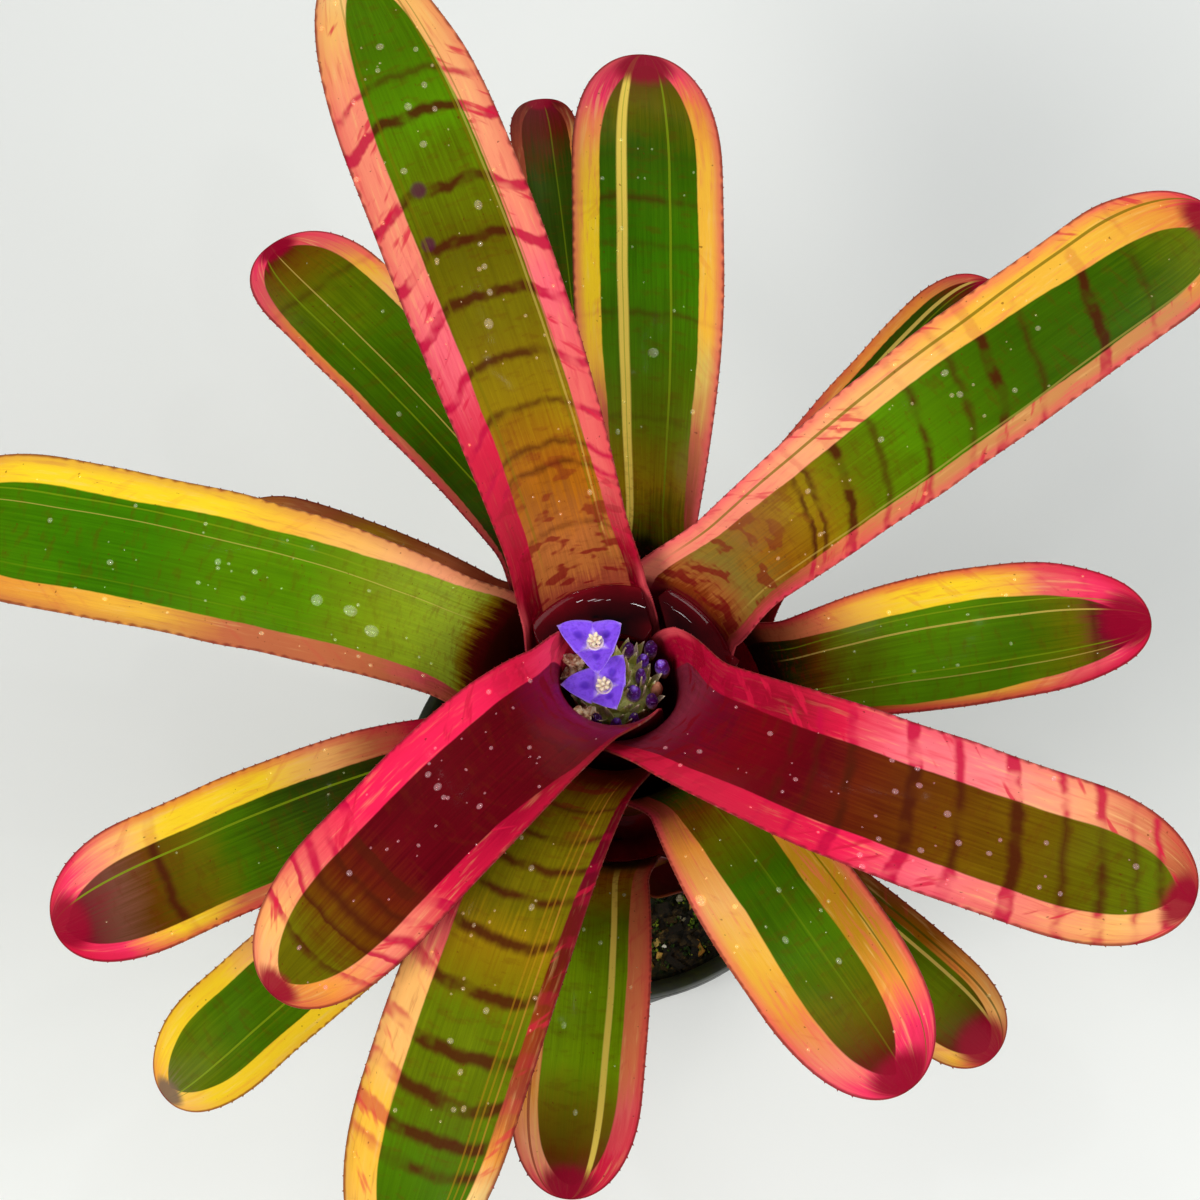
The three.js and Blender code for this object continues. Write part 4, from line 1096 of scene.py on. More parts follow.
def add_faded(heap, dice):
    """Faded flowers, shrunk and twisted, lying over the rim of the head on their stalks."""
    t, v = grid(18, 9)
    stalk, stalk_faces = lathe([(0, -9), (0.9, -9), (1.1, -3), (0.9, -0.5), (0, 0.2)], 12)
    for x, y, z, turn, size in FADED:
        half = 1.5 * size * np.sin(pi * (0.1 + 0.88 * t)) ** 0.8 + 0.1
        for i in range(3):
            crumple = 0.5 * np.sin(7 * t + 3 * v + i) + 0.35 * np.sin(13 * t - 4 * v + 2 * i)
            height = 1.2 * np.sin(2.6 * t + i) + crumple
            upper = np.stack([t * 5.2 * size, v * half + 0.3 * crumple, height], -1)
            points, faces = slab(upper, upper - np.array((0, 0, 0.3)))
            points = spin(points, radians(-20 + 18 * i), radians(turn + 75 * i), (x, y, z))
            heap.add(points, faces, along=both(t), edge=both(np.abs(v)), kind=2.0, tone=dice.uniform(0, 1))
        heap.add(stalk + (x * 0.97, y * 0.97, z + 0.3), stalk_faces, along=0.2, kind=2.0, tone=0.5)


def build_head(material):
    """The head on its scape: bracts, kind 0, closed buds, kind 1, and faded flowers, kind 2."""
    dice = np.random.default_rng(7)
    heap = Heap("along", "edge", "kind", "tone")
    profile = [(0, SCAPE_FOOT), (3, SCAPE_FOOT), (3, 150), (3, 168), (7, 174), (10.3, 180), (9.8, 184),
               (9.3, 189), (7.5, 191.5), (5.3, 193), (2.5, 193.8), (0, 194)]
    points, faces = lathe(profile, 48)
    heap.add(points, faces, along=0.6, kind=0.0, tone=0.4)
    add_bracts(heap, dice)
    add_buds(heap, dice)
    add_faded(heap, dice)
    return heap.piece("flower_head_bracts", material, "bracts", ("flower_head",))


def petal_material():
    net = Net("petal_finish")
    along, edge, kind = net.attributes("along edge kind")
    shades = stops("0 ivory, .07 ivory, .14 lilac, .22 violet, .86 violet, .96 lilac, 1 mauve")
    body = net.ramp(along, shades)
    cloud = net.noise(net.place(900, 900, 500), 1.0, 3, 0.6)
    body = net.tint(body, cloud.span(0.46, 0.66, 0.0, 0.4), "indigo")
    away = ((along - 0.42) * 5.5) ** 2 + (edge * 2.6) ** 2
    body = net.tint(body, (away + cloud).span(1.3, 0.5, 0.0, 0.8), "indigo")
    body = net.tint(body, edge.span(0.84, 1.0, 0.0, 0.45), "lilac")
    vein = net.noise(net.vector(edge * 9.0, along), 1.0, 3, 0.6)
    body = net.tint(body, vein.span(0.55, 0.7, 0.0, 0.25), "lilac")
    colour = net.tint(body, kind.span(0.3, 0.6), "ivory")
    colour = net.tint(colour, kind.span(0.8, 1.0), "pollen")
    return net.finish(Base_Color=colour, Roughness=0.5, Specular_IOR_Level=0.25, Subsurface_Weight=0.15,
                      Subsurface_Radius=(0.002, 0.001, 0.003), Normal=net.bump(cloud, 0.3, 0.0002))


def bract_material():
    net = Net("bract_finish")
    along, edge, kind, tone = net.attributes("along edge kind tone")
    spot = net.noise(net.place(), 800.0, 3, 0.6)
    grain = net.noise(net.place(1500, 1500, 240), 1.0, 3, 0.6)
    green = net.ramp(along, stops("0 celery, .8 celery, 1 ivory"))
    bright = net.ramp(along, stops("0 celery, .5 ivory, 1 ivory"))
    bract = net.mix(tone.span(0.25, 0.8), green, bright)
    bract = net.tint(bract, grain.span(0.5, 0.66, 0.0, 0.4), "pea")
    bract = net.tint(bract, edge.span(0.76, 1.0, 0.0, 0.45), "straw")
    speck = net.noise(net.place(), 1500.0, 1).span(0.6, 0.66)
    bract = net.tint(bract, speck * along.span(0.5, 0.9, 0.0, 0.85), "chalk")
    deep = stops("0 celery, .35 straw, .55 mauve, .72 grape, .88 grape, .97 aubergine, 1 mulberry")
    light = stops("0 celery, .35 straw, .55 mauve, .7 violet, .88 grape, .95 violet, 1 lilac")
    bud = net.mix(tone.span(0.35, 0.75), net.ramp(along, deep), net.ramp(along, light))
    bud = net.tint(bud, spot.span(0.46, 0.62, 0.0, 0.7), "aubergine")
    bud = net.tint(bud, speck * 0.6, "lilac")
    bud = net.tint(bud, tone.span(1.4, 1.6), "fawn")
    faded = net.ramp(spot, stops(".3 120/60/56, .44 196/142/104, .55 240/212/172, .7 252/238/212"))
    colour = net.pick(kind, (bract, bud, faded))
    return net.finish(Base_Color=colour, Roughness=0.52, Specular_IOR_Level=0.25,
                      Normal=net.bump(grain, 0.5, 0.0003))


# ------------------------------------------------------------------------------- water in the axils

# Azimuth, extent from the axis, half the length sideways and level of each pool, and how much further
# than that oval its water may reach.
POOLS = [(106, 8, 30, 14, 193), (38, 16, 36, 12, 184), (14, 26, 46, 14, 163), (272, 20, 44, 14, 160)]
POOL_SPARE = 2
# The water keeps this far from the axis, clear of the flower head.
CORE = HEAD_RADIUS + 3
POOL_SPOKES = 120
# The rings of points on the surface, as shares of the reach, and on the wall below, as depths.
POOL_SHARES = (1.0, 0.985, 0.96, 0.92, 0.86, 0.78, 0.68, 0.56, 0.42, 0.26, 0.1)
POOL_DEEP = 6.0
POOL_DEPTHS = (1.2, 3.0, POOL_DEEP)
# How far the water climbs the leaves, and how fast that dies away from them.
CLIMB = 1.4
CLIMB_SPAN = 1.6
# How far the water's edge runs into the leaves.
SOAK = 0.06
# The sheath edge of leaf_03 parts the first pool from the second: the bank on each side of it, as a
# point and the direction that the bank runs in.
BANKS = {1: ((6.7, 25.4), (3.0, -11.5)), 2: ((13.2, 19.0), (-1.6, 6.4))}


def pool_caps(number, centre, angles):
    """How far each spoke may run before it leaves the pool's oval or meets a bank or the flower head."""
    at, near, far, half, _ = POOLS[number - 1]
    turn = radians(at)
    along = np.array((cos(turn), sin(turn)))
    aside = np.array((-sin(turn), cos(turn)))
    p, q = centre @ along - (near + far) / 2, centre @ aside
    a, b = (far - near) / 2 + POOL_SPARE, half + POOL_SPARE
    caps = []
    for angle in angles:
        ray = np.array((cos(angle), sin(angle)))
        u, w = ray @ along / a, ray @ aside / b
        k = u * u + w * w
        m = p * u / a + q * w / b
        c = (p / a) ** 2 + (q / b) ** 2 - 1
        cap = (-m + max(m * m - k * c, 0) ** 0.5) / k
        toward = centre @ ray
        miss = centre @ centre - CORE * CORE
        if toward < 0 and toward * toward > miss:
            cap = min(cap, -toward - (toward * toward - miss) ** 0.5)
        if number in BANKS:
            foot, course = np.array(BANKS[number])
            across = np.array((course[1], -course[0]))
            share = ((foot - centre) @ across) / (ray @ across)
            if share > 0:
                cap = min(cap, share)
        caps.append(max(cap, 0.3))
    return np.array(caps)


def spokes(tree, centre, z, angles, caps):
    """How far each spoke runs at height z before it meets a leaf or its cap."""
    out = []
    for angle, cap in zip(angles, caps):
        hit = tree.ray_cast(Vector((centre[0], centre[1], z)), Vector((cos(angle), sin(angle), 0)), cap)
        out.append(cap if hit[0] is None else hit[3] + SOAK)
    return np.array(out)


def build_pool(number, pool, tree, material):
    """Water that fills the space of its solid up to the leaves around, with a meniscus along them."""
    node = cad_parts["pool_%d" % number]
    level = pool[4]
    spots = np.array([tuple(node.matrix_world @ face.center) for face in node.data.polygons]) / MM
    sizes = np.array([face.area for face in node.data.polygons])
    top = spots[:, 2] > level - 0.05
    centre = (spots[top, :2] * sizes[top, None]).sum(0) / sizes[top].sum()
    angles = around(POOL_SPOKES)
    caps = pool_caps(number, centre, angles)
    brim = spokes(tree, centre, level + CLIMB * 0.8, angles, caps)
    direction = np.stack([np.cos(angles), np.sin(angles)], -1)
    loops = []
    shore = []
    for share in POOL_SHARES:
        flat = centre + direction * (brim * share)[:, None]
        heights = []
        for x, y in flat:
            gap = tree.find_nearest(Vector((x, y, level + 0.5)))[3]
            heights.append(level + CLIMB * np.exp(-gap / CLIMB_SPAN))
            shore.append(gap)
        loops.append(np.column_stack([flat, heights]))
    wall = brim
    below = []
    for depth in POOL_DEPTHS:
        wall = np.minimum(spokes(tree, centre, level - depth, angles, wall), wall)
        height = np.full(POOL_SPOKES, level - depth)
        below.append(np.column_stack([centre + direction * wall[:, None], height]))
    strip = below[::-1] + loops
    shore = np.concatenate([np.zeros(len(below) * POOL_SPOKES), shore, [0.0, 9.0]])
    ends = [[(*centre, level - POOL_DEEP)], [(*centre, loops[-1][:, 2].mean())]]
    faces = spindle_faces(len(strip), POOL_SPOKES)
    return make_piece("pool_%d_water" % number, np.concatenate(strip + ends), faces, material,
                      ("pool_%d" % number,), attributes=dict(shore=shore))


def pool_material():
    net = Net("pool_finish")
    shade_wobble = net.noise(net.place(), 110.0, 3, 0.6)
    [shore] = net.attributes("shore")
    shore = shore + shade_wobble.sway(6.0)
    # Painted shade: maroon where the water is near the leaves, going near black away from them, for the
    # shaded depths under the surface. The noise roughens where it darkens.
    colour = net.ramp(shore * 0.1, stops("0 104/6/18, .14 84/3/12, .45 54/3/8, .9 10/1/3"))
    return net.finish(Base_Color=colour, Roughness=0.01, IOR=1.33, Specular_IOR_Level=0.22)


# --------------------------------------------------------------------------------------- droplets

# Larger drops on the blades: for each leaf, (along, across, radius in mm before DROP_SCALE).
DROPS = {
    1: [(.515, -.45, .9), (.515, -.25, 1.1), (.52, -.1, .8), (.745, -.3, 1.0), (.3, .2, .7),
        (.62, .1, .7)],
    2: [(.625, .1, 1.1), (.555, .5, .8), (.54, .15, .9), (.66, -.2, 1.0), (.705, -.2, .8),
        (.62, -.45, .9), (.56, -.5, .8), (.77, .15, .8), (.9, .25, 1.0), (.82, -.4, .9),
        (.79, -.4, .8), (.745, .9, .9), (.555, -.8, 1.0), (.57, -.94, .9), (.3, .3, .8), (.2, -.3, .8)],
    3: [(.86, .05, 1.4), (.84, -.4, .9), (.83, .2, .9), (.79, -.3, 1.0), (.77, 0, 1.3), (.755, -.3, .9),
        (.715, 0, 1.3), (.69, .35, 1.2), (.615, -.35, 1.3), (.565, -.2, .9), (.535, -.15, 1.0),
        (.5, -.1, 1.0), (.46, .05, 1.5), (.8, .65, .9), (.7, .95, 1.1)],
    4: [(.35, .1, .9), (.42, .3, .9), (.3, -.2, .8), (.6, .2, 1.0), (.66, -.1, 1.1), (.75, .2, .9)],
    5: [(.565, .35, 1.1), (.56, 0, 1.2), (.62, -.4, 1.0), (.435, .15, 1.0), (.3, .2, .9), (.7, .1, .9)],
    6: [(.55, -.1, 1.2), (.5, .3, .9), (.7, .2, 1.0), (.8, -.2, .9), (.385, .08, 2.0), (.325, .1, 1.9),
        (.28, .3, 2.1)],
    7: [(.44, -.85, 1.6), (.5, .1, .8), (.6, -.2, 1.0), (.7, .2, .9)],
    8: [(.45, -.05, 1.9), (.75, .6, .8), (.3, .5, .8)],
    12: [(.6, -.3, .9), (.8, 0, .8)],
}
DROP_SCALE = 0.8
# The outline of a drop as shares of its radius, up to its top, and how much flatter than a ball it is.
DROP_PROFILE = [(1.0, -0.25), (0.99, 0.06), (0.86, 0.42), (0.55, 0.72)]
DROP_TOP = 0.84
DROP_FLAT = 0.8
# How many fine drops each leaf carries.
DROP_COUNTS = [40, 40, 50, 36, 50, 45, 26, 24, 22, 22, 16, 16, 10, 8, 10, 6, 8]


def add_drop(heap, leaf, s, v, radius, dice):
    """A drop on the upper face, stretched along the blade, with the tone of the leaf below it."""
    point, normal, forward = leaf.spot(s, v)
    side = np.cross(normal, forward)
    columns = 12 if radius > 0.6 else 7
    lean = forward * dice.uniform(0.85, 1.35)
    angles = around(columns)
    circle = np.cos(angles)[:, None] * lean + np.sin(angles)[:, None] * side
    loops = [point + normal * h * radius * DROP_FLAT + r * radius * circle for r, h in DROP_PROFILE]
    points = np.concatenate(loops + [[point + normal * DROP_TOP * radius * DROP_FLAT]])
    # The tone picks the tint of the drop's painted light: pink on the red leaves, gold on the banded ones,
    # green on the rest.
    tone = 0.0 if leaf.rank < 3 else 0.5 if leaf.rank < 6 else 1.0
    heap.add(points, dome_faces(len(DROP_PROFILE), columns), tone=tone)


def build_drops(leaves, fine_material, large_material):
    """Fine drops scattered over the blades, and the larger ones where DROPS puts them."""
    dice = np.random.default_rng(31)
    fine = Heap("tone")
    large = Heap("tone")
    for leaf, count in zip(leaves, DROP_COUNTS):
        for _ in range(count):
            s = dice.uniform(0.12, 0.95) if dice.uniform() < 0.8 else dice.uniform(0.3, 0.6)
            v = dice.uniform(-0.88, 0.88)
            radius = 0.22 + 0.5 * dice.uniform() ** 3
            add_drop(fine, leaf, s, v, radius, dice)
    for rank, places in DROPS.items():
        for s, v, radius in places:
            add_drop(large, leaves[rank - 1], s, v, radius * DROP_SCALE, dice)
    for piece in (fine.piece("droplets_fine", fine_material, "water"),
                  large.piece("droplets_large", large_material, "water")):
        piece.visible_shadow = False


def drop_material(name, clear, share):
    """Water with a pale painted colour, white mixed with a share of a tint like the leaf below, for the
    light that the drop gathers; it lets light through as far as it is clear.
    """
    net = Net(name)
    [tone] = net.attributes("tone")
    colour = net.ramp(tone, stops("0 255/170/184, .5 250/214/140, 1 232/240/168"))
    colour = net.mix(share, (1, 1, 1, 1), colour)
    return net.finish(Base_Color=colour, Roughness=0.03, IOR=1.33, Transmission_Weight=clear)


# ------------------------------------------------------------------------------ pot, mix and stem

POT_SIDES = 144
DRAINS = 6
DRAIN_RADIUS = 4.5
DRAIN_AT = 29.0
PLATE = (22.0, 36.0)
FLOOR_UNDER, FLOOR_OVER = 2.5, 4.5
# Outlines of the pot as (radius, height): the foot inside its ring, the wall with the foot ring and the
# rolled rim, and the floor inside the ring of holes.
POT_FOOT = [(22, FLOOR_UNDER), (21, 1.2), (20, 0), (12, 0), (0, 0)]
POT_WALL = [
    (36, 2.5), (37, 1.2), (38, 0), (41, 0), (41.7, 0.3), (42, 1), (45.9, 25.6), (46.1, 26.0),
    (46.4, 26.2), (56.9, 88.6), (57.1, 89), (59.4, 89), (59.8, 89.2), (60, 89.8), (60, 92.0),
    (59.85, 92.1), (59.85, 92.5), (60, 92.6), (60, 95.2), (59.7, 95.8), (59.2, 96), (57.8, 96),
    (57.3, 95.8), (55.9, 94.4), (55.55, 93.6), (55.2, 89), (39.35, 4.9), (38.9, 4.5), (36, 4.5),
]
POT_FLOOR = [(22, FLOOR_OVER), (21, 4.5), (20, 3.2), (19, 2), (10, 2), (0, 2)]
MIX_LEVEL = 88.0
BARK_BITS, PERLITE_BITS, MOSS_TUFTS, MOSS_LEAVES = 420, 90, 150, 14
# Where the leaf scars of the stem start, just above the mix.
SCARS_FROM = 91
# The ring of the mix's surface that the litter lies on.
LITTER_FROM, LITTER_TO = 27.5, 52.5


def drain_plate(sector):
    """One sixth of the raised ring of the pot's floor, with its hole."""
    middle = 2 * pi * (sector + 0.5) / DRAINS
    arc = POT_SIDES // DRAINS
    turns = middle + (np.arange(arc + 1) / arc - 0.5) * 2 * pi / DRAINS
    inner, outer = PLATE
    edge = [(r, turns[0]) for r in np.linspace(inner, outer, 7)[:-1]]
    edge += [(outer, a) for a in turns[:-1]]
    edge += [(r, turns[-1]) for r in np.linspace(outer, inner, 7)[:-1]]
    edge += [(inner, a) for a in turns[:0:-1]]
    rim = np.array([(r * cos(a), r * sin(a)) for r, a in edge])
    hole = np.array((DRAIN_AT * cos(middle), DRAIN_AT * sin(middle)))
    ray = rim - hole
    circle = hole + ray / np.linalg.norm(ray, axis=1)[:, None] * DRAIN_RADIUS
    count = len(rim)
    layers = [circle, circle * 0.6 + rim * 0.4, rim]
    points = [(x, y, z) for z in (FLOOR_UNDER, FLOOR_OVER) for layer in layers for x, y in layer]
    faces = []
    for i in range(count):
        j = (i + 1) % count
        for ring in range(2):
            a = ring * count
            faces.append((a + j, a + count + j, a + count + i, a + i))
            b = (3 + ring) * count
            faces.append((b + i, b + count + i, b + count + j, b + j))
        faces.append((3 * count + i, 3 * count + j, j, i))
    return points, faces


def build_pot(material):
    """The pot as one closed shell: foot, wall, floor and the ring with the drain holes."""
    points, faces = [], []

    def join(more):
        faces.extend([tuple(i + len(points) for i in face) for face in more[1]])
        points.extend(more[0])

    for profile in (POT_FOOT, POT_WALL, POT_FLOOR):
        join(rings(profile, POT_SIDES))
    for sector in range(DRAINS):
        join(drain_plate(sector))
    points, faces = weld(points, faces)
    piece = make_piece("pot_shell", points, faces, material, ("pot",))
    piece.data.set_sharp_from_angle(angle=radians(32))
    return piece


def mix_height(x, y):
    """The height of the lumpy top of the mix."""
    lump = np.sin(x * 0.31 + 1.7 * np.sin(y * 0.23)) * np.cos(y * 0.37 - x * 0.11)
    grit = 0.5 * ripple(x * 0.9, y * 0.9, 3.0)
    return MIX_LEVEL + 0.4 + 1.3 * lump + grit + 0.25 * ripple(x * 2.3, y * 2.1, 1.0)


def scatter(dice):
    """A random place on the surface of the mix."""
    radius, angle = dice.uniform(LITTER_FROM ** 2, LITTER_TO ** 2) ** 0.5, dice.uniform(0, 2 * pi)
    x, y = radius * cos(angle), radius * sin(angle)
    return np.array((x, y, mix_height(x, y)))


def add_bark(heap, dice):
    """Angular chips of bark, lying nearly flat."""
    block = np.array([(x, y, z) for x in (-1, 1) for y in (-1, 1) for z in (-1, 1)], float)
    faces = [(0, 1, 3, 2), (4, 6, 7, 5), (0, 4, 5, 1), (2, 3, 7, 6), (0, 2, 6, 4), (1, 5, 7, 3)]
    for _ in range(BARK_BITS):
        size = np.array((dice.uniform(0.8, 2.8), dice.uniform(0.6, 1.6), dice.uniform(0.3, 0.9)))
        shape = block * size * dice.uniform(0.72, 1.15, (8, 1))
        turn = frame_at((dice.normal(0, 0.35), dice.normal(0, 0.35), 1), dice.uniform(0, 6))
        points = shape @ turn.T + scatter(dice) + (0, 0, 0.15)
        heap.add(points, faces, kind=1.0, tone=dice.uniform(0, 1))


def add_perlite(heap, dice):
    """Uneven rounded grains of perlite."""
    lump, faces = ball(9)
    for _ in range(PERLITE_BITS):
        size = dice.uniform(0.5, 1.5)
        bumps = 1 + 0.22 * ripple(lump[:, 0] * 3, lump[:, 1] * 3, dice.uniform(0, 9))[:, None]
        shape = lump * bumps * (size, size * 0.9, size * 0.75)
        heap.add(shape + scatter(dice) + (0, 0, size * 0.3), faces, kind=2.0, tone=dice.uniform(0, 1))


def add_moss(heap, dice):
    """Tufts of small pointed leaves."""
    angles = np.arange(4) * pi / 2
    loop = np.stack([0.3 * np.cos(angles), 0.3 * np.sin(angles), np.zeros(4)], -1)
    faces = dome_faces(2, 4)
    for _ in range(MOSS_TUFTS):
        middle = scatter(dice)
        for _ in range(MOSS_LEAVES):
            foot = middle + np.array((dice.normal(0, 1.0), dice.normal(0, 1.0), 0))
            foot[2] = mix_height(foot[0], foot[1]) - 0.3
            if not LITTER_FROM - 0.5 < hypot(foot[0], foot[1]) < LITTER_TO + 0.5:
                continue
            tall = dice.uniform(1.2, 2.2)
            lean = (dice.normal(0, 0.4), dice.normal(0, 0.4), 1)
            points = np.concatenate([loop, loop * 1.5 + (0, 0, tall * 0.45), [(0, 0, tall)]])
            points = points @ frame_at(lean, dice.uniform(0, 2)).T + foot
            heap.add(points, faces, kind=3.0, tone=dice.uniform(0, 1))


def build_mix(material):
    """The bed, kind 0, its flat top made lumpy, with bark, kind 1, perlite, kind 2, and moss, kind 3."""
    dice = np.random.default_rng(11)
    heap = Heap("kind", "tone")
    top = [(r, MIX_LEVEL) for r in np.linspace(53.6, 25.4, 40)]
    profile = [(0, 2.5), (18.6, 2.5), (20.6, 5), (38.1, 5), (43.4, 30), (49.0, 58.6), (54.5, 87)]
    profile += top + [(23.85, 87), (22.35, 85), (15.5, 71.5), (9.5, 62.5), (0, 61.5)]
    points, faces = weld(*rings(profile, 180))
    flat = np.abs(points[:, 2] - MIX_LEVEL) < 1e-3
    points[flat, 2] = mix_height(points[flat, 0], points[flat, 1])
    heap.add(points, faces, kind=0.0, tone=0.5)
    add_bark(heap, dice)
    add_perlite(heap, dice)
    add_moss(heap, dice)
    return heap.piece("potting_mix_bed", material, "mix", ("potting_mix",), smooth=False)


def stem_radius(z):
    """The stem narrows upwards by the same steps as the feet of the leaves."""
    return STEM_TOP_RADIUS + STEP_OUT * (STEM_TOP - z) / STEP_DOWN - 0.6


def build_stem(material):
    """The stem: its cut foot, the rings of leaf scars and the socket of the scape on top."""
    profile = [(0, 62), (8.6, 62.6), (9, 63), (12.2, 67.5), (15, 72)]
    profile += [(stem_radius(SCARS_FROM) - 1.5, 85), (stem_radius(SCARS_FROM), SCARS_FROM)]
    for z in np.arange(SCARS_FROM + 0.5, 129.1, 0.55):
        scar = 0.28 * abs(sin(pi * (STEM_TOP - z) / STEP_DOWN)) ** 0.5
        profile.append((stem_radius(z) - scar, z))
    profile += [(stem_radius(STEM_TOP) - 0.8, STEM_TOP), (3.4, STEM_TOP), (3.4, 121.7), (0, 121.7)]
    points, faces = lathe(profile, 96)
    return make_piece("stem_core", points, faces, material, ("stem",))


def pot_material():
    net = Net("pot_finish")
    place = net.place()
    cloud = net.noise(place, 25.0, 4, 0.6)
    dust = net.noise(net.place(60, 60, 14), 1.0, 5, 0.65)
    colour = net.mix(cloud.span(0.35, 0.65), linear("soot"), linear("slate"))
    colour = net.tint(colour, dust.span(0.56, 0.74, 0.0, 0.35), "dust")
    height = net.add("ShaderNodeSeparateXYZ", {0: place}, 2)
    grown = net.noise(place, 260.0, 4, 0.65)
    grown = height.span(0.089, 0.0945) * grown.span(0.4, 0.6, 0.35, 1.0)
    colour = net.tint(colour, grown, "algae")
    scratch = net.noise(net.place(40, 40, 900), 1.0, 3, 0.6)
    relief = scratch * 0.4 + net.noise(place, 1400.0, 2) * 0.6
    return net.finish(Base_Color=colour, Roughness=dust.span(0.3, 0.7, 0.34, 0.6, False),
                      Specular_IOR_Level=0.4, Normal=net.bump(relief, 0.25, 0.0002))


def mix_material():
    net = Net("mix_finish")
    kind, tone = net.attributes("kind tone")
    rough = net.noise(net.place(), 420.0, 5, 0.7)
    wide = net.noise(net.place(), 60.0, 2)
    earth = net.ramp(rough, stops(".3 5/5/3, .48 22/17/8, .6 58/44/18, .72 120/96/40"))
    earth = net.tint(earth, wide.span(0.46, 0.6, 0.0, 0.7), "slime")
    bark = net.ramp(tone, stops("0 12/9/5, .5 30/24/10, .8 60/46/16, .92 170/116/34, 1 226/190/96"))
    bark = net.tint(bark, rough.span(0.42, 0.62, 0.0, 0.6), "char")
    stone = net.ramp(tone, stops("0 120/112/84, .5 190/184/158, 1 232/230/214"))
    moss = net.ramp(tone, stops("0 14/26/4, .5 42/66/8, .85 88/112/16, 1 150/160/40"))
    colour = net.pick(kind, (earth, bark, stone, moss))
    return net.finish(Base_Color=colour, Roughness=0.8, Specular_IOR_Level=0.25,
                      Normal=net.bump(rough, 0.7, 0.0006))


def stem_material():
    net = Net("stem_finish")
    fibre = net.noise(net.place(300, 300, 60), 1.0, 4, 0.65)
    colour = net.ramp(fibre, stops(".3 60/44/24, .5 128/104/62, .68 176/156/108"))
    return net.finish(Base_Color=colour, Roughness=0.75, Normal=net.bump(fibre, 0.5, 0.0005))


# --------------------------------------------------------------------------------------------- run

# The material slot meant for each leaf, from the innermost; the pieces are not given them here.
SLOTS = ["leaf_red"] * 2 + ["leaf_banded"] * 3 + ["leaf_green"] * 12

leaves = [Leaf(facts) for facts in LEAVES]
blades = [build_leaf(leaf, Skin(leaf, {**PLAIN_LOOK, **look}).draw())
          for leaf, look, slot in zip(leaves, LOOKS, SLOTS)]
tree = search_tree(blades)
shaded_water = pool_material()
pools = [build_pool(number, pool, tree, shaded_water) for number, pool in enumerate(POOLS, 1)]
petals = petal_material()
for number, flower in enumerate(FLOWERS, 1):
    build_flower(number, flower, petals)
build_head(bract_material())
build_pot(pot_material())
build_mix(mix_material())
build_stem(stem_material())
build_drops(leaves, drop_material("droplet_fine_finish", 0.75, 0.8),
            drop_material("droplet_large_finish", 0.8, 0.6))

# ----------------------------------------------------------------------------- camera, floor, lights

# The camera's place in mm, and its tilt from straight down in degrees.
CAMERA_AT = (-3.75, -240.54, 915.58)
CAMERA_TILT = 20.0
FLOOR_HALF = 3.0


def add_camera():
    camera = bpy.data.objects.new("camera", bpy.data.cameras.new("camera"))
    camera.data.lens = 90
    camera.data.sensor_width = 36
    camera.data.clip_start = 0.05
    camera.location = [c * MM for c in CAMERA_AT]
    camera.rotation_euler = (radians(CAMERA_TILT), 0, 0)
    bpy.context.scene.collection.objects.link(camera)
    bpy.context.scene.camera = camera


def add_floor():
    """The pale ground that the pot stands on, which is no part of the object."""
    mesh = bpy.data.meshes.new("floor")
    corners = [(x * FLOOR_HALF, y * FLOOR_HALF, 0) for x, y in ((-1, -1), (1, -1), (1, 1), (-1, 1))]
    mesh.from_pydata(corners, [], [(0, 1, 2, 3)])
    net = Net("floor")
    cloud = net.noise(net.place(), 3.0, 3)
    mesh.materials.append(net.finish(
        Base_Color=net.mix(cloud, (0.88, 0.91, 0.87, 1), (0.95, 0.96, 0.95, 1)), Roughness=0.9))
    floor = bpy.data.objects.new("floor", mesh)
    bpy.context.scene.collection.objects.link(floor)


def add_light(name, place, size, power, colour=(1, 1, 1), aim=(0, 0, 0.17), tall=None):
    """An area light, places in metres: square, or as tall as given."""
    light = bpy.data.lights.new(name, "AREA")
    light.energy = power
    light.color = colour
    light.size = size
    if tall:
        light.shape = "RECTANGLE"
        light.size_y = tall
    lamp = bpy.data.objects.new(name, light)
    lamp.location = place
    lamp.rotation_euler = (Vector(aim) - Vector(place)).to_track_quat("-Z", "Y").to_euler()
    bpy.context.scene.collection.objects.link(lamp)


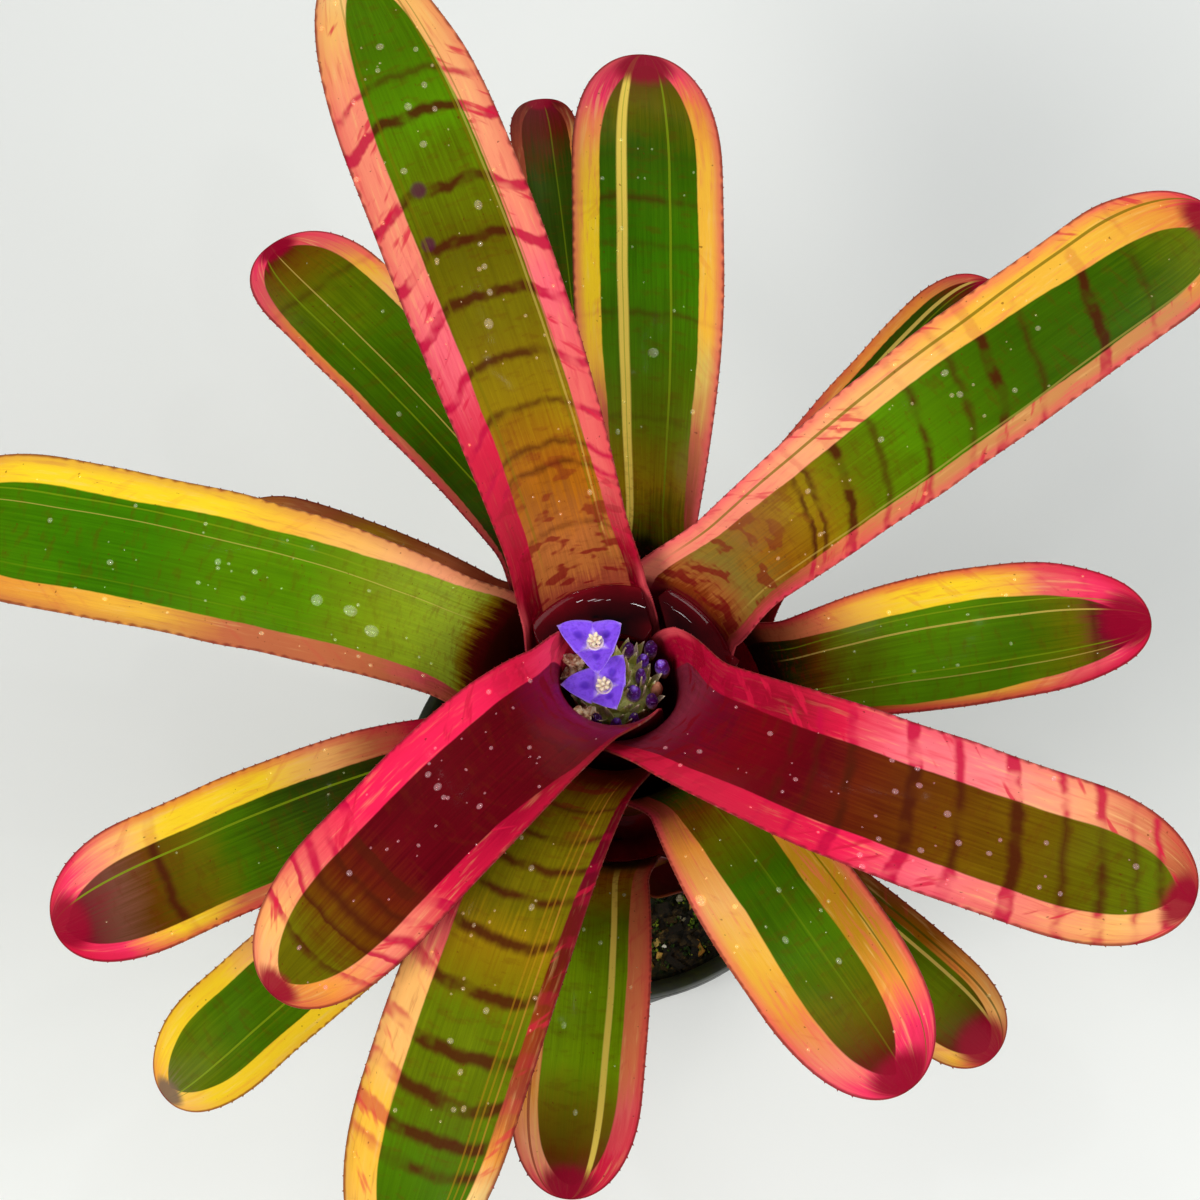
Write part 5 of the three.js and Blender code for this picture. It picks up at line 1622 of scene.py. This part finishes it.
def add_world():
    world = bpy.data.worlds.new("world")
    world.use_nodes = True
    sky = world.node_tree.nodes["Background"].inputs
    sky["Color"].default_value = (0.93, 0.97, 1.0, 1)
    sky["Strength"].default_value = 0.23
    bpy.context.scene.world = world


# The bulbs that the first two pools mirror: where the first shows in the water, and the step to the
# next, in mm. Each is made as large as it takes to show GLINT_SIZE mm wide, GLINT_AWAY mm away, but
# not larger than BULB_MOST.
BULBS = 4
BULB_MOST = 22
GLINTS = {1: ((-8.6, 22.3), (2.35, 0.06)), 2: ((14.5, 23.9), (1.23, -0.92))}
GLINT_SIZE = 0.28
GLINT_AWAY = 720.0
GLINT_POWER = 330.0


def mirrored(piece, tree, spot):
    """The point GLINT_AWAY mm away that the camera sees mirrored at a spot of the water."""
    eye = Vector(CAMERA_AT)
    view = (spot - eye).normalized()
    hit, _, index, _ = tree.ray_cast(eye, view)
    corners = [piece.data.vertices[i] for i in piece.data.polygons[index].vertices]
    shares = poly_3d_calc([corner.co / MM for corner in corners], hit)
    normal = sum((corner.normal * share for corner, share in zip(corners, shares)), Vector()).normalized()
    return hit + view.reflect(normal) * GLINT_AWAY


def add_bulbs():
    """Small lamps placed so that the pools mirror them where GLINTS says."""
    for number, (first, step) in GLINTS.items():
        piece = pools[number - 1]
        tree = search_tree([piece])
        course = Vector((*step, 0)).normalized() * GLINT_SIZE / 2
        aside = Vector((-course.y, course.x, 0))
        for i in range(BULBS):
            spot = Vector((first[0] + step[0] * i, first[1] + step[1] * i, POOLS[number - 1][4]))
            spans = [mirrored(piece, tree, spot + away) - mirrored(piece, tree, spot - away)
                     for away in (course, aside)]
            wide, tall = [min(span.length, BULB_MOST) * MM for span in spans]
            lamp = mirrored(piece, tree, spot) * MM
            power = GLINT_POWER * wide * tall
            add_light("bulb_%d_%d" % (number, i + 1), lamp, wide, power, aim=spot * MM, tall=tall)


add_camera()
add_floor()
add_world()
add_light("key", (-0.75, -0.55, 1.05), 0.6, 11.0, (1.0, 0.98, 0.95))
add_light("fill", (0.85, -0.35, 0.95), 0.8, 7.0)
add_light("back", (0.2, 1.1, 0.65), 0.8, 4.0)
add_bulbs()

scene = bpy.context.scene
scene.view_settings.view_transform = "Standard"
